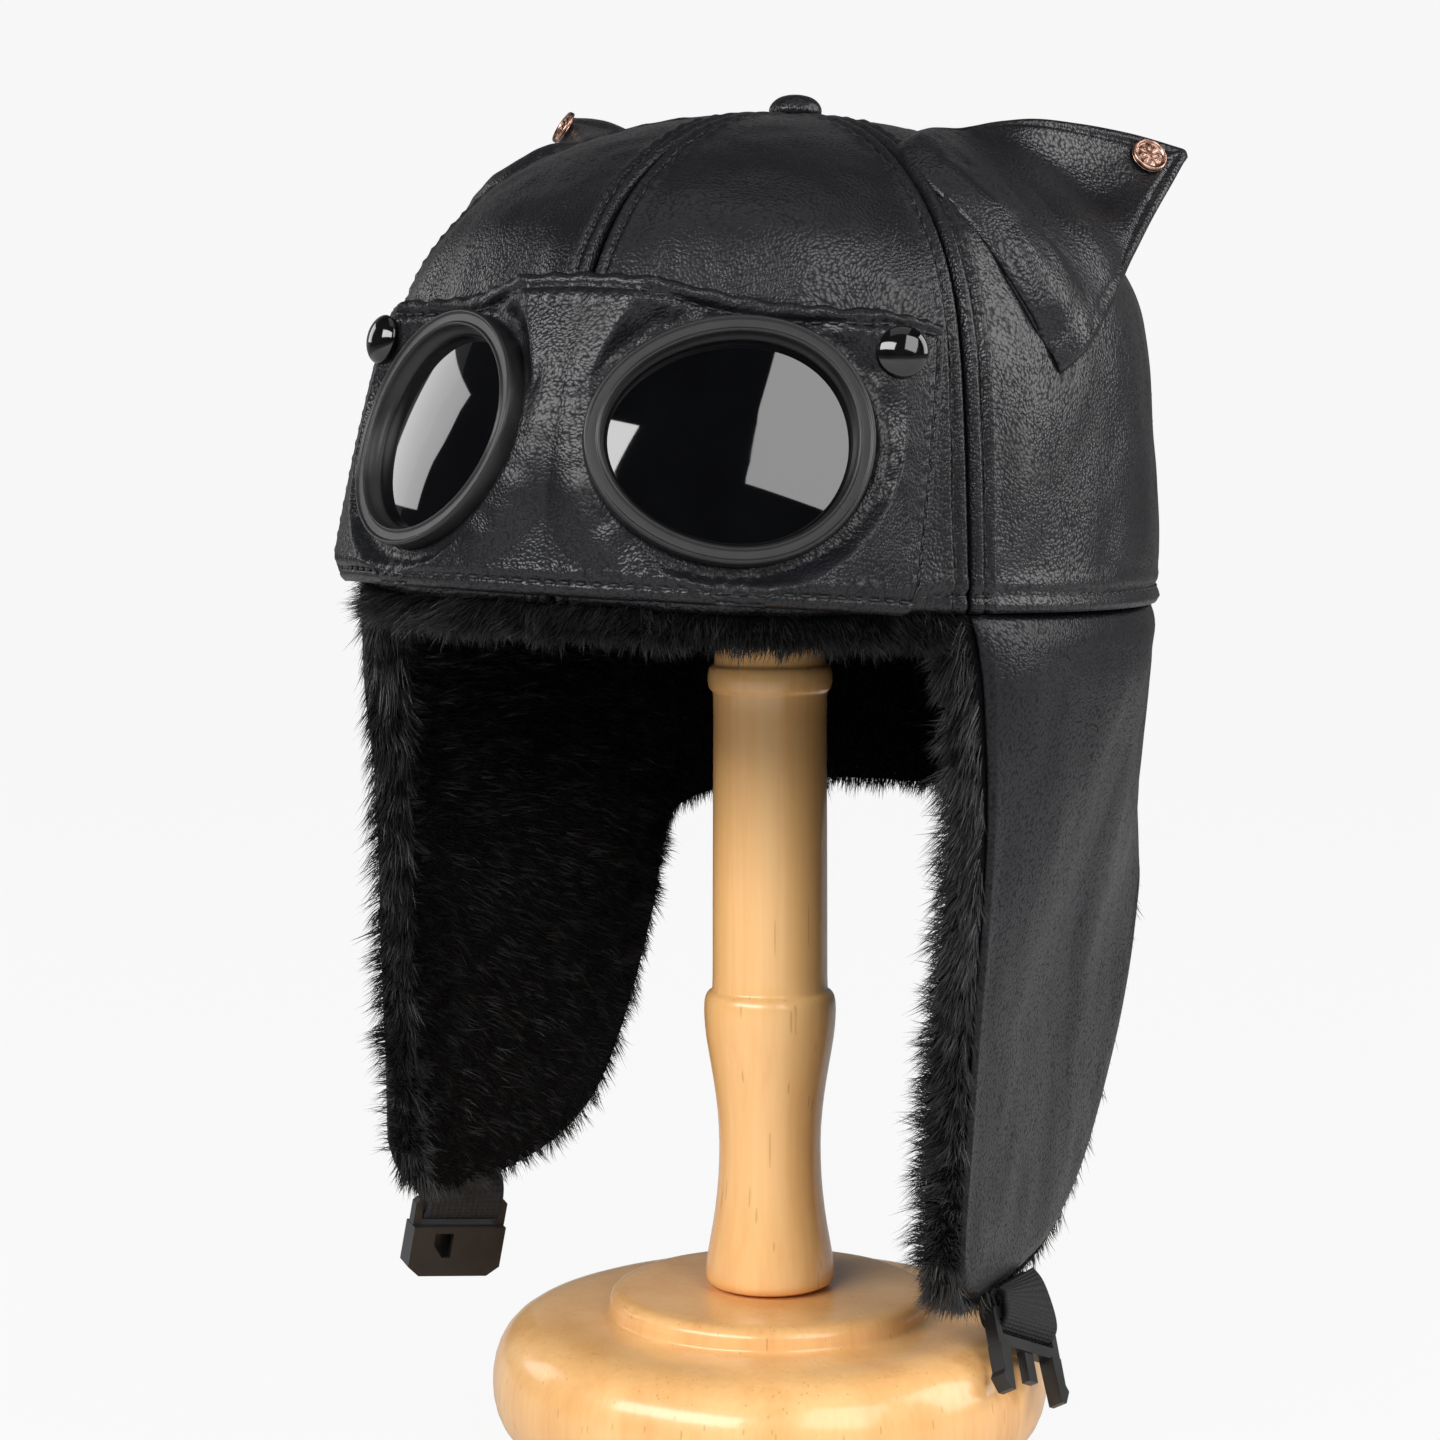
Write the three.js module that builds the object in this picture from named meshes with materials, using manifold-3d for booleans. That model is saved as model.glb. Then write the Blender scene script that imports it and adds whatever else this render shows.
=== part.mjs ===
// Flying helmet of black leather with cat ears, goggles on a band and a fur lining, on a turned wooden stand.
// Millimetres, +Z up. The helmet faces -Y, the wearer's left is +X, and the stand's axis meets the floor at 0, 0, 0.
import * as THREE from "three";
import Module from "manifold-3d";

const wasm = await Module();
wasm.setup();

// Driving sizes of the helmet
const rimHalfWidth = 91;
const rimHalfLength = 107;
const crownHeight = 110.5;
const leather = 1.5;
const gap = 0.3;
const flapLength = 160;
const neckLength = 54;
const furDepth = 13.5;
const bandThickness = 2;
const ringHalfWidth = 30.1;
const ringHalfHeight = 26.4;
const ringWall = 3.4;
const snapRadius = 5.4;
const rivetRadius = 4.4;
const buttonRadius = 5.8;
const strapWidth = 20;
const strapThickness = 1.4;
// Driving sizes of the stand
const baseRadius = 67.8;
const baseHeight = 33;
const stepRadius = 38.9;
const stepHeight = 6;
const postRadius = 13.9;
const capRadius = 34;
const capSlack = 2.1;
// How the helmet sits on the stand: it rolls a little towards the wearer's left, and the soft crown leans after it.
// The post holds the flaps' tips just above the step.
const helmetRoll = 2.2;
const helmetLean = 0.035;
const flapClearance = 10.6;
const helmetShift = { x: -2.5, y: 2, rimAbove: baseHeight + stepHeight + flapClearance + flapLength };

const degrees = Math.PI / 180;
const vec = (x, y, z) => new THREE.Vector3(x, y, z);

// Smooth step from 0 at a to 1 at b
function ramp(a, b, x) {
  const t = Math.min(1, Math.max(0, (x - a) / (b - a)));
  return t * t * (3 - 2 * t);
}

// Value of one column of a table at a share 0 to 1 of its rows, on a smooth curve through the rows
function column(rows, name, share) {
  const last = rows.length - 1;
  const at = Math.min(1, Math.max(0, share)) * last;
  const i = Math.min(last - 1, Math.floor(at));
  const t = at - i;
  const p1 = rows[i][name];
  const p2 = rows[i + 1][name];
  const p0 = i > 0 ? rows[i - 1][name] : 2 * p1 - p2;
  const p3 = i + 2 <= last ? rows[i + 2][name] : 2 * p2 - p1;
  const m1 = (p2 - p0) / 2;
  const m2 = (p3 - p1) / 2;
  const t2 = t * t;
  const t3 = t2 * t;
  return (2 * t3 - 3 * t2 + 1) * p1 + (t3 - 2 * t2 + t) * m1 + (3 * t2 - 2 * t3) * p2 + (t3 - t2) * m2;
}

// Mesh of a closed body from points and triangles, turned to face out
function bodyGeometry(points, triangles) {
  let volume = 0;
  for (const [a, b, c] of triangles) {
    volume += points[a].dot(vec(0, 0, 0).crossVectors(points[b], points[c]));
  }
  const index = [];
  for (const [a, b, c] of triangles) {
    if (volume > 0) index.push(a, b, c);
    else index.push(a, c, b);
  }
  const flat = new Float32Array(points.length * 3);
  points.forEach((p, i) => p.toArray(flat, i * 3));
  const geometry = new THREE.BufferGeometry();
  geometry.setAttribute("position", new THREE.BufferAttribute(flat, 3));
  geometry.setIndex(index);
  return geometry;
}

// Wall between two grids of points: front(u, v) and back(u, v), closed round its four edges
function wallGeometry(front, back, across, up) {
  const points = [];
  const triangles = [];
  const width = across + 1;
  const count = width * (up + 1);
  for (const side of [front, back]) {
    for (let j = 0; j <= up; j++) {
      for (let i = 0; i <= across; i++) points.push(side(i / across, j / up));
    }
  }
  const quad = (a, b, c, d) => {
    triangles.push([a, b, c], [a, c, d]);
  };
  for (let j = 0; j < up; j++) {
    for (let i = 0; i < across; i++) {
      const a = j * width + i;
      quad(a, a + 1, a + 1 + width, a + width);
      quad(a + count, a + width + count, a + 1 + width + count, a + 1 + count);
    }
  }
  const edge = (a, b) => quad(b, a, a + count, b + count);
  for (let i = 0; i < across; i++) {
    edge(i, i + 1);
    edge(up * width + i + 1, up * width + i);
  }
  for (let j = 0; j < up; j++) {
    edge((j + 1) * width, j * width);
    edge(j * width + across, (j + 1) * width + across);
  }
  return bodyGeometry(points, triangles);
}

// Point at a distance from surface(u, v) along its normal, which faces away from a point inside
function raised(surface, u, v, distance, inside) {
  const step = 0.004;
  const u0 = Math.max(0, u - step);
  const u1 = Math.min(1, u + step);
  const v0 = Math.max(0, v - step);
  const v1 = Math.min(1, v + step);
  const along = surface(u1, v).sub(surface(u0, v));
  const upward = surface(u, v1).sub(surface(u, v0));
  const normal = along.cross(upward).normalize();
  const at = surface(u, v);
  if (normal.dot(at.clone().sub(inside(at))) < 0) normal.negate();
  return at.addScaledVector(normal, distance);
}

// Wall of a surface between two distances from it
function sheetGeometry(surface, outer, inner, across, up, inside) {
  const depth = (value, u, v) => (typeof value === "function" ? value(u, v) : value);
  const front = (u, v) => raised(surface, u, v, depth(outer, u, v), inside);
  const back = (u, v) => raised(surface, u, v, depth(inner, u, v), inside);
  return wallGeometry(front, back, across, up);
}

// Body of revolution about Z from a profile of [radius, height] pairs that starts and ends on the axis
function turnedGeometry(profile, sides) {
  const points = [vec(0, 0, profile[0][1])];
  const triangles = [];
  const rings = profile.slice(1, -1);
  rings.forEach(([radius, z]) => {
    for (let i = 0; i < sides; i++) {
      const a = (i / sides) * 2 * Math.PI;
      points.push(vec(radius * Math.cos(a), radius * Math.sin(a), z));
    }
  });
  const top = points.length;
  points.push(vec(0, 0, profile[profile.length - 1][1]));
  for (let i = 0; i < sides; i++) {
    const next = (i + 1) % sides;
    triangles.push([0, 1 + next, 1 + i]);
    for (let j = 0; j + 1 < rings.length; j++) {
      const a = 1 + j * sides;
      const b = a + sides;
      triangles.push([a + i, a + next, b + next], [a + i, b + next, b + i]);
    }
    const last = 1 + (rings.length - 1) * sides;
    triangles.push([last + i, last + next, top]);
  }
  return bodyGeometry(points, triangles);
}

const toSolid = (geometry) =>
  new wasm.Manifold(
    new wasm.Mesh({
      numProp: 3,
      vertProperties: geometry.getAttribute("position").array,
      triVerts: new Uint32Array(geometry.index.array),
    }),
  );

function fromSolid(solid) {
  const mesh = solid.getMesh();
  const geometry = new THREE.BufferGeometry();
  geometry.setAttribute("position", new THREE.BufferAttribute(new Float32Array(mesh.vertProperties), 3));
  geometry.setIndex(new THREE.BufferAttribute(new Uint32Array(mesh.triVerts), 1));
  return geometry;
}

// Colours and finish
const black = { color: 0x1d1e21, roughness: 0.5, metalness: 0 };
const finishes = {
  leather: black,
  fur: { color: 0x0c0c0e, roughness: 0.95, metalness: 0 },
  plastic: { color: 0x191a1c, roughness: 0.42, metalness: 0 },
  lens: { color: 0x08090b, roughness: 0.05, metalness: 0 },
  enamel: { color: 0x0a0a0b, roughness: 0.12, metalness: 0 },
  copper: { color: 0xa86f56, roughness: 0.35, metalness: 1 },
  webbing: { color: 0x151517, roughness: 0.85, metalness: 0 },
  wood: { color: 0xd9a262, roughness: 0.35, metalness: 0 },
};

const object = new THREE.Group();
object.name = "flying_helmet_on_stand";
const helmet = new THREE.Group();
helmet.name = "helmet";
object.add(helmet);
helmet.matrixAutoUpdate = false;
helmet.matrix
  .makeTranslation(helmetShift.x, helmetShift.y, helmetShift.rimAbove)
  .multiply(new THREE.Matrix4().makeRotationY(helmetRoll * degrees))
  .multiply(new THREE.Matrix4().makeShear(0, 0, 0, 0, helmetLean, 0));

function add(group, name, geometry, finish) {
  const mesh = new THREE.Mesh(geometry, new THREE.MeshStandardMaterial(finishes[finish]));
  mesh.name = name;
  group.add(mesh);
  return mesh;
}

// Copy of a geometry on the wearer's right, mirrored in the middle plane
function mirrored(geometry) {
  const copy = geometry.clone();
  copy.scale(-1, 1, 1);
  const index = Array.from(copy.index.array);
  for (let i = 0; i < index.length; i += 3) [index[i + 1], index[i + 2]] = [index[i + 2], index[i + 1]];
  copy.setIndex(index);
  return copy;
}

// Crown: six gores. Their rise is even along the rows: height and radius as shares of the crown's.
const crownRise = [
  { height: 0.0, radius: 1.0 },
  { height: 0.17, radius: 0.985 },
  { height: 0.34, radius: 0.965 },
  { height: 0.5, radius: 0.938 },
  { height: 0.64, radius: 0.888 },
  { height: 0.76, radius: 0.792 },
  { height: 0.86, radius: 0.648 },
  { height: 0.93, radius: 0.49 },
  { height: 0.975, radius: 0.315 },
  { height: 0.995, radius: 0.145 },
  { height: 1.0, radius: 0.04 },
];
// Seams in degrees from the front: at the rim, and how far they swing forward up to the top
const frontSeam = 57;
const frontSeamSwing = 7;
const backSeam = 118;
const gorePuff = 2.2;

// Share of the crown's rows at a height
function riseAt(height) {
  let low = 0;
  let high = 1;
  for (let n = 0; n < 24; n++) {
    const middle = (low + high) / 2;
    if (column(crownRise, "height", middle) * crownHeight < height) low = middle;
    else high = middle;
  }
  return (low + high) / 2;
}

const seamAngles = (rise) => [0, frontSeam - frontSeamSwing * rise, backSeam, 180];

function gorePlace(angle, rise) {
  const seams = seamAngles(rise);
  const size = Math.min(180, Math.abs(angle));
  let k = 0;
  while (k < 2 && size > seams[k + 1]) k++;
  return (size - seams[k]) / (seams[k + 1] - seams[k]);
}

// Frame of the wearer's left goggle: its face leans back and turns outward
const ringSetBack = 8.7;
const ringCentre = vec(35.9, ringSetBack - rimHalfLength, 35.7);
const ringYaw = 30 * degrees;
const ringPitch = 15.7 * degrees;
const ringNormal = vec(
  Math.sin(ringYaw) * Math.cos(ringPitch),
  -Math.cos(ringYaw) * Math.cos(ringPitch),
  Math.sin(ringPitch),
);
const ringAcross = vec(Math.cos(ringYaw), Math.sin(ringYaw), 0);
const ringUp = vec(0, 0, 0).crossVectors(ringAcross, ringNormal).negate();
const ringEgg = 2.7;

// Point at angle on the egg-shaped outline, grown by a width and moved off the face
function eggPoint(angle, grow, off) {
  const across = (ringHalfWidth + grow) * Math.cos(angle) + ringEgg * Math.sin(angle) ** 2;
  const up = (ringHalfHeight + grow) * Math.sin(angle);
  return ringCentre
    .clone()
    .addScaledVector(ringAcross, across)
    .addScaledVector(ringUp, up)
    .addScaledVector(ringNormal, off);
}

// Place of a point against the goggle: share of the outline it is at, and its distance from the face
function ringPlace(point) {
  const from = vec(Math.abs(point.x), point.y, point.z).sub(ringCentre);
  const across = (from.dot(ringAcross) - 1) / ringHalfWidth;
  const up = from.dot(ringUp) / ringHalfHeight;
  return { share: Math.hypot(across, up), off: from.dot(ringNormal) };
}

// Where a point stands in front of a depth behind the goggle's face, it is pressed back to it
function pressed(point, depth) {
  const { share, off } = ringPlace(point);
  const weight = (1 - ramp(1.2, 1.7, share)) * ramp(2, 18, Math.abs(point.x));
  const back = Math.max(0, off + depth) * weight;
  const side = Math.sign(point.x);
  return vec(
    point.x - side * ringNormal.x * back,
    point.y - ringNormal.y * back,
    point.z - ringNormal.z * back,
  );
}

const pressDepth = 10.5;
function crownShape(degreesRound, rise, off) {
  const puff = 1 + (gorePuff / rimHalfWidth) * Math.sin(Math.PI * gorePlace(degreesRound, rise));
  const radius = column(crownRise, "radius", rise) * puff;
  const z = column(crownRise, "height", rise) * crownHeight;
  const angle = degreesRound * degrees;
  return vec(
    (rimHalfWidth * radius + off) * Math.sin(angle),
    -(rimHalfLength * radius + off) * Math.cos(angle),
    z,
  );
}
const crownPoint = (degreesRound, rise) => pressed(crownShape(degreesRound, rise, 0), pressDepth);

const crownInside = (at) => vec(0, 0, Math.min(at.z, crownHeight * 0.35));
const riseEnd = 0.985;
const goreAcross = 6;
const goreUp = 10;

function goreGeometry(k) {
  const surface = (u, v) => {
    const rise = v * riseEnd;
    const seams = seamAngles(rise);
    const radius = column(crownRise, "radius", rise) * rimHalfWidth;
    const trim = (gap / 2 / radius) / degrees;
    const from = seams[k] + trim;
    const to = seams[k + 1] - trim;
    return crownPoint(from + (to - from) * u, rise);
  };
  // The rows crowd at the rim for the folded hem
  const row = (v) => (v < 1.5 / goreUp ? v * 0.4 : v);
  const hem = (v) => (v * goreUp < 1.5 ? 0.7 : 0);
  const front = (u, v) => raised(surface, u, row(v), hem(v), crownInside);
  const back = (u, v) => raised(surface, u, row(v), -leather, crownInside);
  return wallGeometry(front, back, goreAcross, goreUp);
}

["front", "side", "back"].forEach((name, k) => {
  const geometry = goreGeometry(k);
  add(helmet, "crown_" + name + "_left", geometry, "leather");
  add(helmet, "crown_" + name + "_right", mirrored(geometry), "leather");
});

// Button: a leather-covered dome over the point where the gores meet
const buttonFoot = crownHeight + gap;
const button = turnedGeometry(
  [
    [0, buttonFoot],
    [buttonRadius * 0.93, buttonFoot],
    [buttonRadius, buttonFoot + 1.4],
    [buttonRadius * 0.93, buttonFoot + 3],
    [buttonRadius * 0.7, buttonFoot + 4.4],
    [buttonRadius * 0.36, buttonFoot + 5.2],
    [0, buttonFoot + 5.5],
  ],
  14,
);
add(helmet, "crown_button", button, "leather");

// Skirt: ear flaps and neck flap hang from the rim. Its lower edge from the flap's front corner to the
// middle of the back: degrees round, drop as a share of the flap length, and where the column starts at the rim.
const skirtEdge = [
  { rim: 57.5, round: 73, drop: 0.93 },
  { rim: 62, round: 75.5, drop: 0.972 },
  { rim: 67.5, round: 80, drop: 0.994 },
  { rim: 73.5, round: 87, drop: 1.0 },
  { rim: 80, round: 95, drop: 0.998 },
  { rim: 87, round: 103, drop: 0.988 },
  { rim: 94, round: 110, drop: 0.965 },
  { rim: 101, round: 117, drop: 0.915 },
  { rim: 108, round: 123, drop: 0.83 },
  { rim: 114, round: 128, drop: 0.725 },
  { rim: 120, round: 132, drop: 0.61 },
  { rim: 127, round: 136, drop: 0.5 },
  { rim: 137, round: 143, drop: 0.4 },
  { rim: 150, round: 155, drop: 0.35 },
  { rim: 164, round: 167, drop: 0.34 },
  { rim: 179.9, round: 179.9, drop: neckLength / flapLength },
];

// Each flap hangs from the rim's curve into a flatter plane that leans in under the face. The two hang a
// little differently: how long, how much wider at the back and the front, how far in they lean, how soon
// they are flat and how far they swell below the rim.
const flapHang = {
  left: { longer: 1.0, wider: -1, forward: 2, half: 78.5, turn: 0.025, lean: 0.04, settle: 100, puff: 2.4 },
  right: { longer: 0.95, wider: 3.5, forward: 1, half: 75, turn: 0.02, lean: -0.04, settle: 78, puff: 0.4 },
};
const flapLevel = 96;
const flapFront = -31;
const backPuff = 2.2;
function skirtSurface(side) {
  const hang = flapHang[side];
  return (u, v) => {
    const flap = 1 - ramp(0.62, 0.8, u);
    const swing = hang.wider * ramp(0.25, 0.5, u) * (1 - ramp(0.7, 0.85, u));
    const low = column(skirtEdge, "round", u) + swing - hang.forward * (1 - ramp(0.1, 0.5, u));
    const round = column(skirtEdge, "rim", u) * (1 - v) + low * v;
    const longer = 1 + (hang.longer - 1) * flap;
    const z = -gap - column(skirtEdge, "drop", u) * longer * flapLength * v;
    const angle = round * degrees;
    const y = -rimHalfLength * Math.cos(angle);
    const rimX = rimHalfWidth * Math.sin(angle);
    const planeX = hang.half - hang.turn * (y - flapFront) - hang.lean * (-z - flapLevel);
    const flat = ramp(0, hang.settle, -z) * (1 - ramp(136, 158, round));
    const backward = ramp(100, 179, round);
    const swell = hang.puff * (1 - backward) + backPuff * backward;
    const puff = (swell / rimHalfWidth) * ramp(0, 16, -z) * (1 - 0.6 * flat);
    return vec((rimX * (1 - flat) + planeX * flat) * (1 + puff), y * (1 + puff * 0.6), z);
  };
}

const skirtInside = (at) => vec(0, at.y * 0.35, at.z);
const skirtAcross = 21;
const skirtUp = 8;

// Pile on the inside of the skirt: locks stand out of it row by row, and it swells past the leather's edge
const lockRise = 1.7;
function lock(i, j) {
  return Math.sin(i * 12.9898 + j * 78.233) * 0.6 + ((i + j) % 2 ? 0.7 : -0.7);
}
const furAcross = 20;
const furUp = 9;
function skirtFurPoint(surface, share, v, depth) {
  const u = share * 0.997;
  const i = Math.round(share * furAcross);
  const j = Math.round(v * furUp);
  const at = raised(surface, u, v, -leather - gap - depth, skirtInside);
  const forward = surface(0, v).sub(surface(0.03, v)).normalize();
  const downward = surface(u, 1).sub(surface(u, 0.97)).normalize();
  const edge = Math.max(ramp(0.8, 1, v), 1 - ramp(0, 0.05, u));
  const tuft = edge * lock(i, j) * 1.1;
  at.addScaledVector(forward, (1 - ramp(0, 0.09, u)) * 3.5 + (u < 0.01 ? tuft : 0));
  at.addScaledVector(downward, ramp(0.75, 1, v) * 3.5 + (v > 0.99 ? tuft : 0));
  return at;
}

// Prism of an outline of [across, down] pairs between two depths, and a box, in a frame of its own
function prismSolid(outline, from, to) {
  const count = outline.length;
  const points = [];
  const triangles = [];
  for (const out of [from, to]) outline.forEach(([across, down]) => points.push(vec(across, down, out)));
  for (let i = 0; i < count; i++) {
    const next = (i + 1) % count;
    triangles.push([i, next, count + next], [i, count + next, count + i]);
    if (i > 0 && i + 1 < count) {
      triangles.push([0, i + 1, i], [count, count + i, count + i + 1]);
    }
  }
  return toSolid(bodyGeometry(points, triangles));
}

// Frame of a strap at the flap's tip: across the webbing, down along it and out of its face
const strapHang = {
  left: { along: 0.255, down: vec(0.42, -0.47, -0.78), twist: 6 },
  right: { along: 0.25, down: vec(0.13, 0, -0.99), twist: -39 },
};
function strapFrame(side) {
  const hang = strapHang[side];
  const surface = skirtSurface(side);
  const foot = raised(surface, hang.along, 1, -leather, skirtInside);
  const down = hang.down.clone().normalize();
  const across = surface(hang.along + 0.03, 1).sub(surface(hang.along - 0.03, 1));
  across.normalize();
  const slant = across.dot(down);
  across.addScaledVector(down, -slant).normalize();
  const out = vec(0, 0, 0).crossVectors(across, down);
  const matrix = new THREE.Matrix4().makeBasis(across, down, out).setPosition(foot);
  const put = (solid) => solid.transform(matrix.toArray());
  const box = (a0, a1, d0, d1, n0, n1) =>
    put(
      prismSolid(
        [
          [a0, d0],
          [a1, d0],
          [a1, d1],
          [a0, d1],
        ],
        n0,
        n1,
      ),
    );
  const turned = new THREE.Matrix4().makeRotationY(hang.twist * degrees);
  return { matrix, put, box, turned, slant };
}

for (const side of ["left", "right"]) {
  const surface = skirtSurface(side);
  const place = side === "left" ? (g) => g : mirrored;
  const hide = sheetGeometry(surface, 0, -leather, skirtAcross, skirtUp, skirtInside);
  add(helmet, "skirt_leather_" + side, place(hide), "leather");
  const pile = wallGeometry(
    (u, v) => skirtFurPoint(surface, u, v, 0.6),
    (u, v) => {
      const i = Math.round(u * furAcross);
      const j = Math.round(v * furUp);
      const middle = ramp(0, 0.1, u) * ramp(0, 0.12, v) * (1 - ramp(0.86, 1, v));
      return skirtFurPoint(surface, u, v, furDepth - 3 + 3 * middle + lock(i, j) * lockRise * 0.5);
    },
    furAcross,
    furUp,
  );
  const room = strapFrame(side).box(-strapWidth / 2 - 2, strapWidth / 2 + 2, -3, 16, -7, 5);
  add(helmet, "skirt_fur_" + side, place(fromSolid(toSolid(pile).subtract(room))), "fur");
}

// Front fur trim: a strip of pile inside the front of the rim, swelling out below it
const trimEnd = 56;
const trimRise = 9;
const trimDrop = 5.5;
const trimAcross = 28;
const trimUp = 4;
function trimSurface(u, v) {
  const z = -trimDrop + (trimDrop + trimRise) * v;
  const at = crownPoint(-trimEnd + 2 * trimEnd * u, riseAt(Math.max(0, z)));
  at.z += Math.min(0, z);
  return at;
}
function trimPoint(u, v, depth, swell) {
  const i = Math.round(u * trimAcross);
  const j = Math.round(v * trimUp);
  const z = -trimDrop + (trimDrop + trimRise) * v;
  const below = 1 - ramp(-4.5, -1.2, z);
  const at = raised(trimSurface, u, v, -depth + swell * below, (p) => vec(0, p.y * 0.3, p.z));
  at.z += v < 0.01 ? lock(i, j) * 1.2 : 0;
  return at;
}
const trimFur = wallGeometry(
  (u, v) => trimPoint(u, v, 3.2, 3.4 + lock(Math.round(u * trimAcross), Math.round(v * trimUp)) * 0.7),
  (u, v) => trimPoint(u, v, 11 + lock(Math.round(u * trimAcross), Math.round(v * trimUp)) * 0.8, -1.5),
  trimAcross,
  trimUp,
);
add(helmet, "front_fur_trim", trimFur, "fur");

// Goggle band: stands off the crown, and is drawn forward over the goggles. Its edges from the middle to
// the wearer's left end: degrees round, top and bottom height, and how far each edge stands off the crown.
const bandEdge = [
  { roundTop: 0, roundBottom: 0, top: 69.5, bottom: 1.5, offTop: 2.6, offBottom: 4, bulge: 1.5 },
  { roundTop: 10, roundBottom: 9.5, top: 68.8, bottom: 1.5, offTop: 2.6, offBottom: 4, bulge: 1.5 },
  { roundTop: 20, roundBottom: 19, top: 67, bottom: 1.5, offTop: 2.6, offBottom: 4.3, bulge: 1.2 },
  { roundTop: 30, roundBottom: 28, top: 65.3, bottom: 1.3, offTop: 2.6, offBottom: 5, bulge: 1 },
  { roundTop: 39, roundBottom: 36.5, top: 64, bottom: 1, offTop: 2.7, offBottom: 5.8, bulge: 0.6 },
  { roundTop: 46, roundBottom: 43, top: 62.6, bottom: 0.6, offTop: 2.9, offBottom: 6.4, bulge: 0.3 },
  { roundTop: 51, roundBottom: 47.5, top: 61, bottom: 0, offTop: 3.2, offBottom: 6.5, bulge: 0 },
];
const ringStand = 4.5;

function bandSurface(u, v) {
  const side = u < 0.5 ? -1 : 1;
  const along = Math.abs(u - 0.5) * 2;
  const row = (name) => column(bandEdge, name, along);
  const z = row("bottom") + (row("top") - row("bottom")) * v;
  const round = row("roundBottom") + (row("roundTop") - row("roundBottom")) * v;
  const bulge = row("bulge") * Math.sin(Math.PI * v);
  const off = row("offBottom") + (row("offTop") - row("offBottom")) * v + bulge;
  const point = crownShape(side * round, riseAt(z), off);
  // Round the goggle the leather lies in a plane behind its face
  const { share, off: ahead } = ringPlace(point);
  const weight = 1 - ramp(1.0, 1.42, share);
  const move = (-ringStand - ahead) * weight;
  return vec(
    point.x + side * ringNormal.x * move,
    point.y + ringNormal.y * move,
    point.z + ringNormal.z * move,
  );
}

const bandInside = (at) => vec(at.x * 0.4, 0, at.z);
const bandAcross = 26;
const bandUp = 8;
const bandSheet = toSolid(sheetGeometry(bandSurface, 0, -bandThickness, bandAcross, bandUp, bandInside));

// Closed prism on the egg outline, from one depth to another behind the face
const ringSides = 24;
function eggPrism(grow, from, to, side) {
  const points = [];
  const triangles = [];
  for (const off of [from, to]) {
    for (let i = 0; i < ringSides; i++) {
      const p = eggPoint((i / ringSides) * 2 * Math.PI, grow, off);
      points.push(vec(side * p.x, p.y, p.z));
    }
  }
  for (let i = 0; i < ringSides; i++) {
    const next = (i + 1) % ringSides;
    triangles.push([i, next, ringSides + next], [i, ringSides + next, ringSides + i]);
    if (i > 0 && i + 1 < ringSides) {
      triangles.push([0, i + 1, i], [ringSides, ringSides + i, ringSides + i + 1]);
    }
  }
  return toSolid(bodyGeometry(points, triangles));
}
const bandHoles = eggPrism(gap, -22, 12, 1).add(eggPrism(gap, -22, 12, -1));
add(helmet, "goggle_band", fromSolid(bandSheet.subtract(bandHoles)), "leather");

// Goggle ring: black plastic with a flat face, a straight outer wall and a stepped inside that holds the lens
const ringDepth = 7.5;
function ringGeometry() {
  const section = [
    [0, -ringDepth],
    [0, -0.5],
    [-0.5, 0],
    [-ringWall + 0.4, 0],
    [-ringWall, -0.4],
    [-ringWall - 0.5, -3],
    [-ringWall - 0.5, -ringDepth],
  ];
  const points = [];
  const triangles = [];
  const rows = section.length;
  for (let i = 0; i < ringSides; i++) {
    section.forEach(([grow, off]) => points.push(eggPoint((i / ringSides) * 2 * Math.PI, grow, off)));
  }
  for (let i = 0; i < ringSides; i++) {
    const next = (i + 1) % ringSides;
    for (let j = 0; j < rows; j++) {
      const k = (j + 1) % rows;
      const a = i * rows + j;
      const b = i * rows + k;
      const c = next * rows + k;
      const d = next * rows + j;
      triangles.push([a, b, c], [a, c, d]);
    }
  }
  return bodyGeometry(points, triangles);
}
const ring = ringGeometry();
add(helmet, "goggle_ring_left", ring, "plastic");
add(helmet, "goggle_ring_right", mirrored(ring), "plastic");

// Lens: dark and crowned, set 3 mm down in its ring with a gap all round
const lensRise = 2.6;
const lensThickness = 1.8;
function lensGeometry() {
  const circles = [1, 0.8, 0.45];
  const points = [];
  const triangles = [];
  for (const [base, sign] of [
    [-3.4, 1],
    [-3.4 - lensThickness, 1],
  ]) {
    for (const share of circles) {
      for (let i = 0; i < ringSides; i++) {
        const rim = eggPoint((i / ringSides) * 2 * Math.PI, -ringWall - 0.5 - gap, 0);
        const at = rim.sub(ringCentre).multiplyScalar(share).add(ringCentre);
        points.push(at.addScaledVector(ringNormal, base + sign * lensRise * (1 - share * share)));
      }
    }
    points.push(ringCentre.clone().addScaledVector(ringNormal, base + sign * lensRise));
  }
  const count = circles.length * ringSides + 1;
  for (const start of [0, count]) {
    for (let i = 0; i < ringSides; i++) {
      const next = (i + 1) % ringSides;
      for (let j = 0; j + 1 < circles.length; j++) {
        const a = start + j * ringSides;
        const b = a + ringSides;
        const fan = [
          [a + i, a + next, b + next],
          [a + i, b + next, b + i],
        ];
        fan.forEach(([p, q, r]) => triangles.push(start ? [p, r, q] : [p, q, r]));
      }
      const last = start + (circles.length - 1) * ringSides;
      const centre = start + count - 1;
      triangles.push(start ? [last + i, centre, last + next] : [last + i, last + next, centre]);
    }
  }
  for (let i = 0; i < ringSides; i++) {
    const next = (i + 1) % ringSides;
    triangles.push([next, i, count + i], [next, count + i, count + next]);
  }
  return bodyGeometry(points, triangles);
}
const lens = lensGeometry();
add(helmet, "goggle_lens_left", lens, "lens");
add(helmet, "goggle_lens_right", mirrored(lens), "lens");

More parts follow.
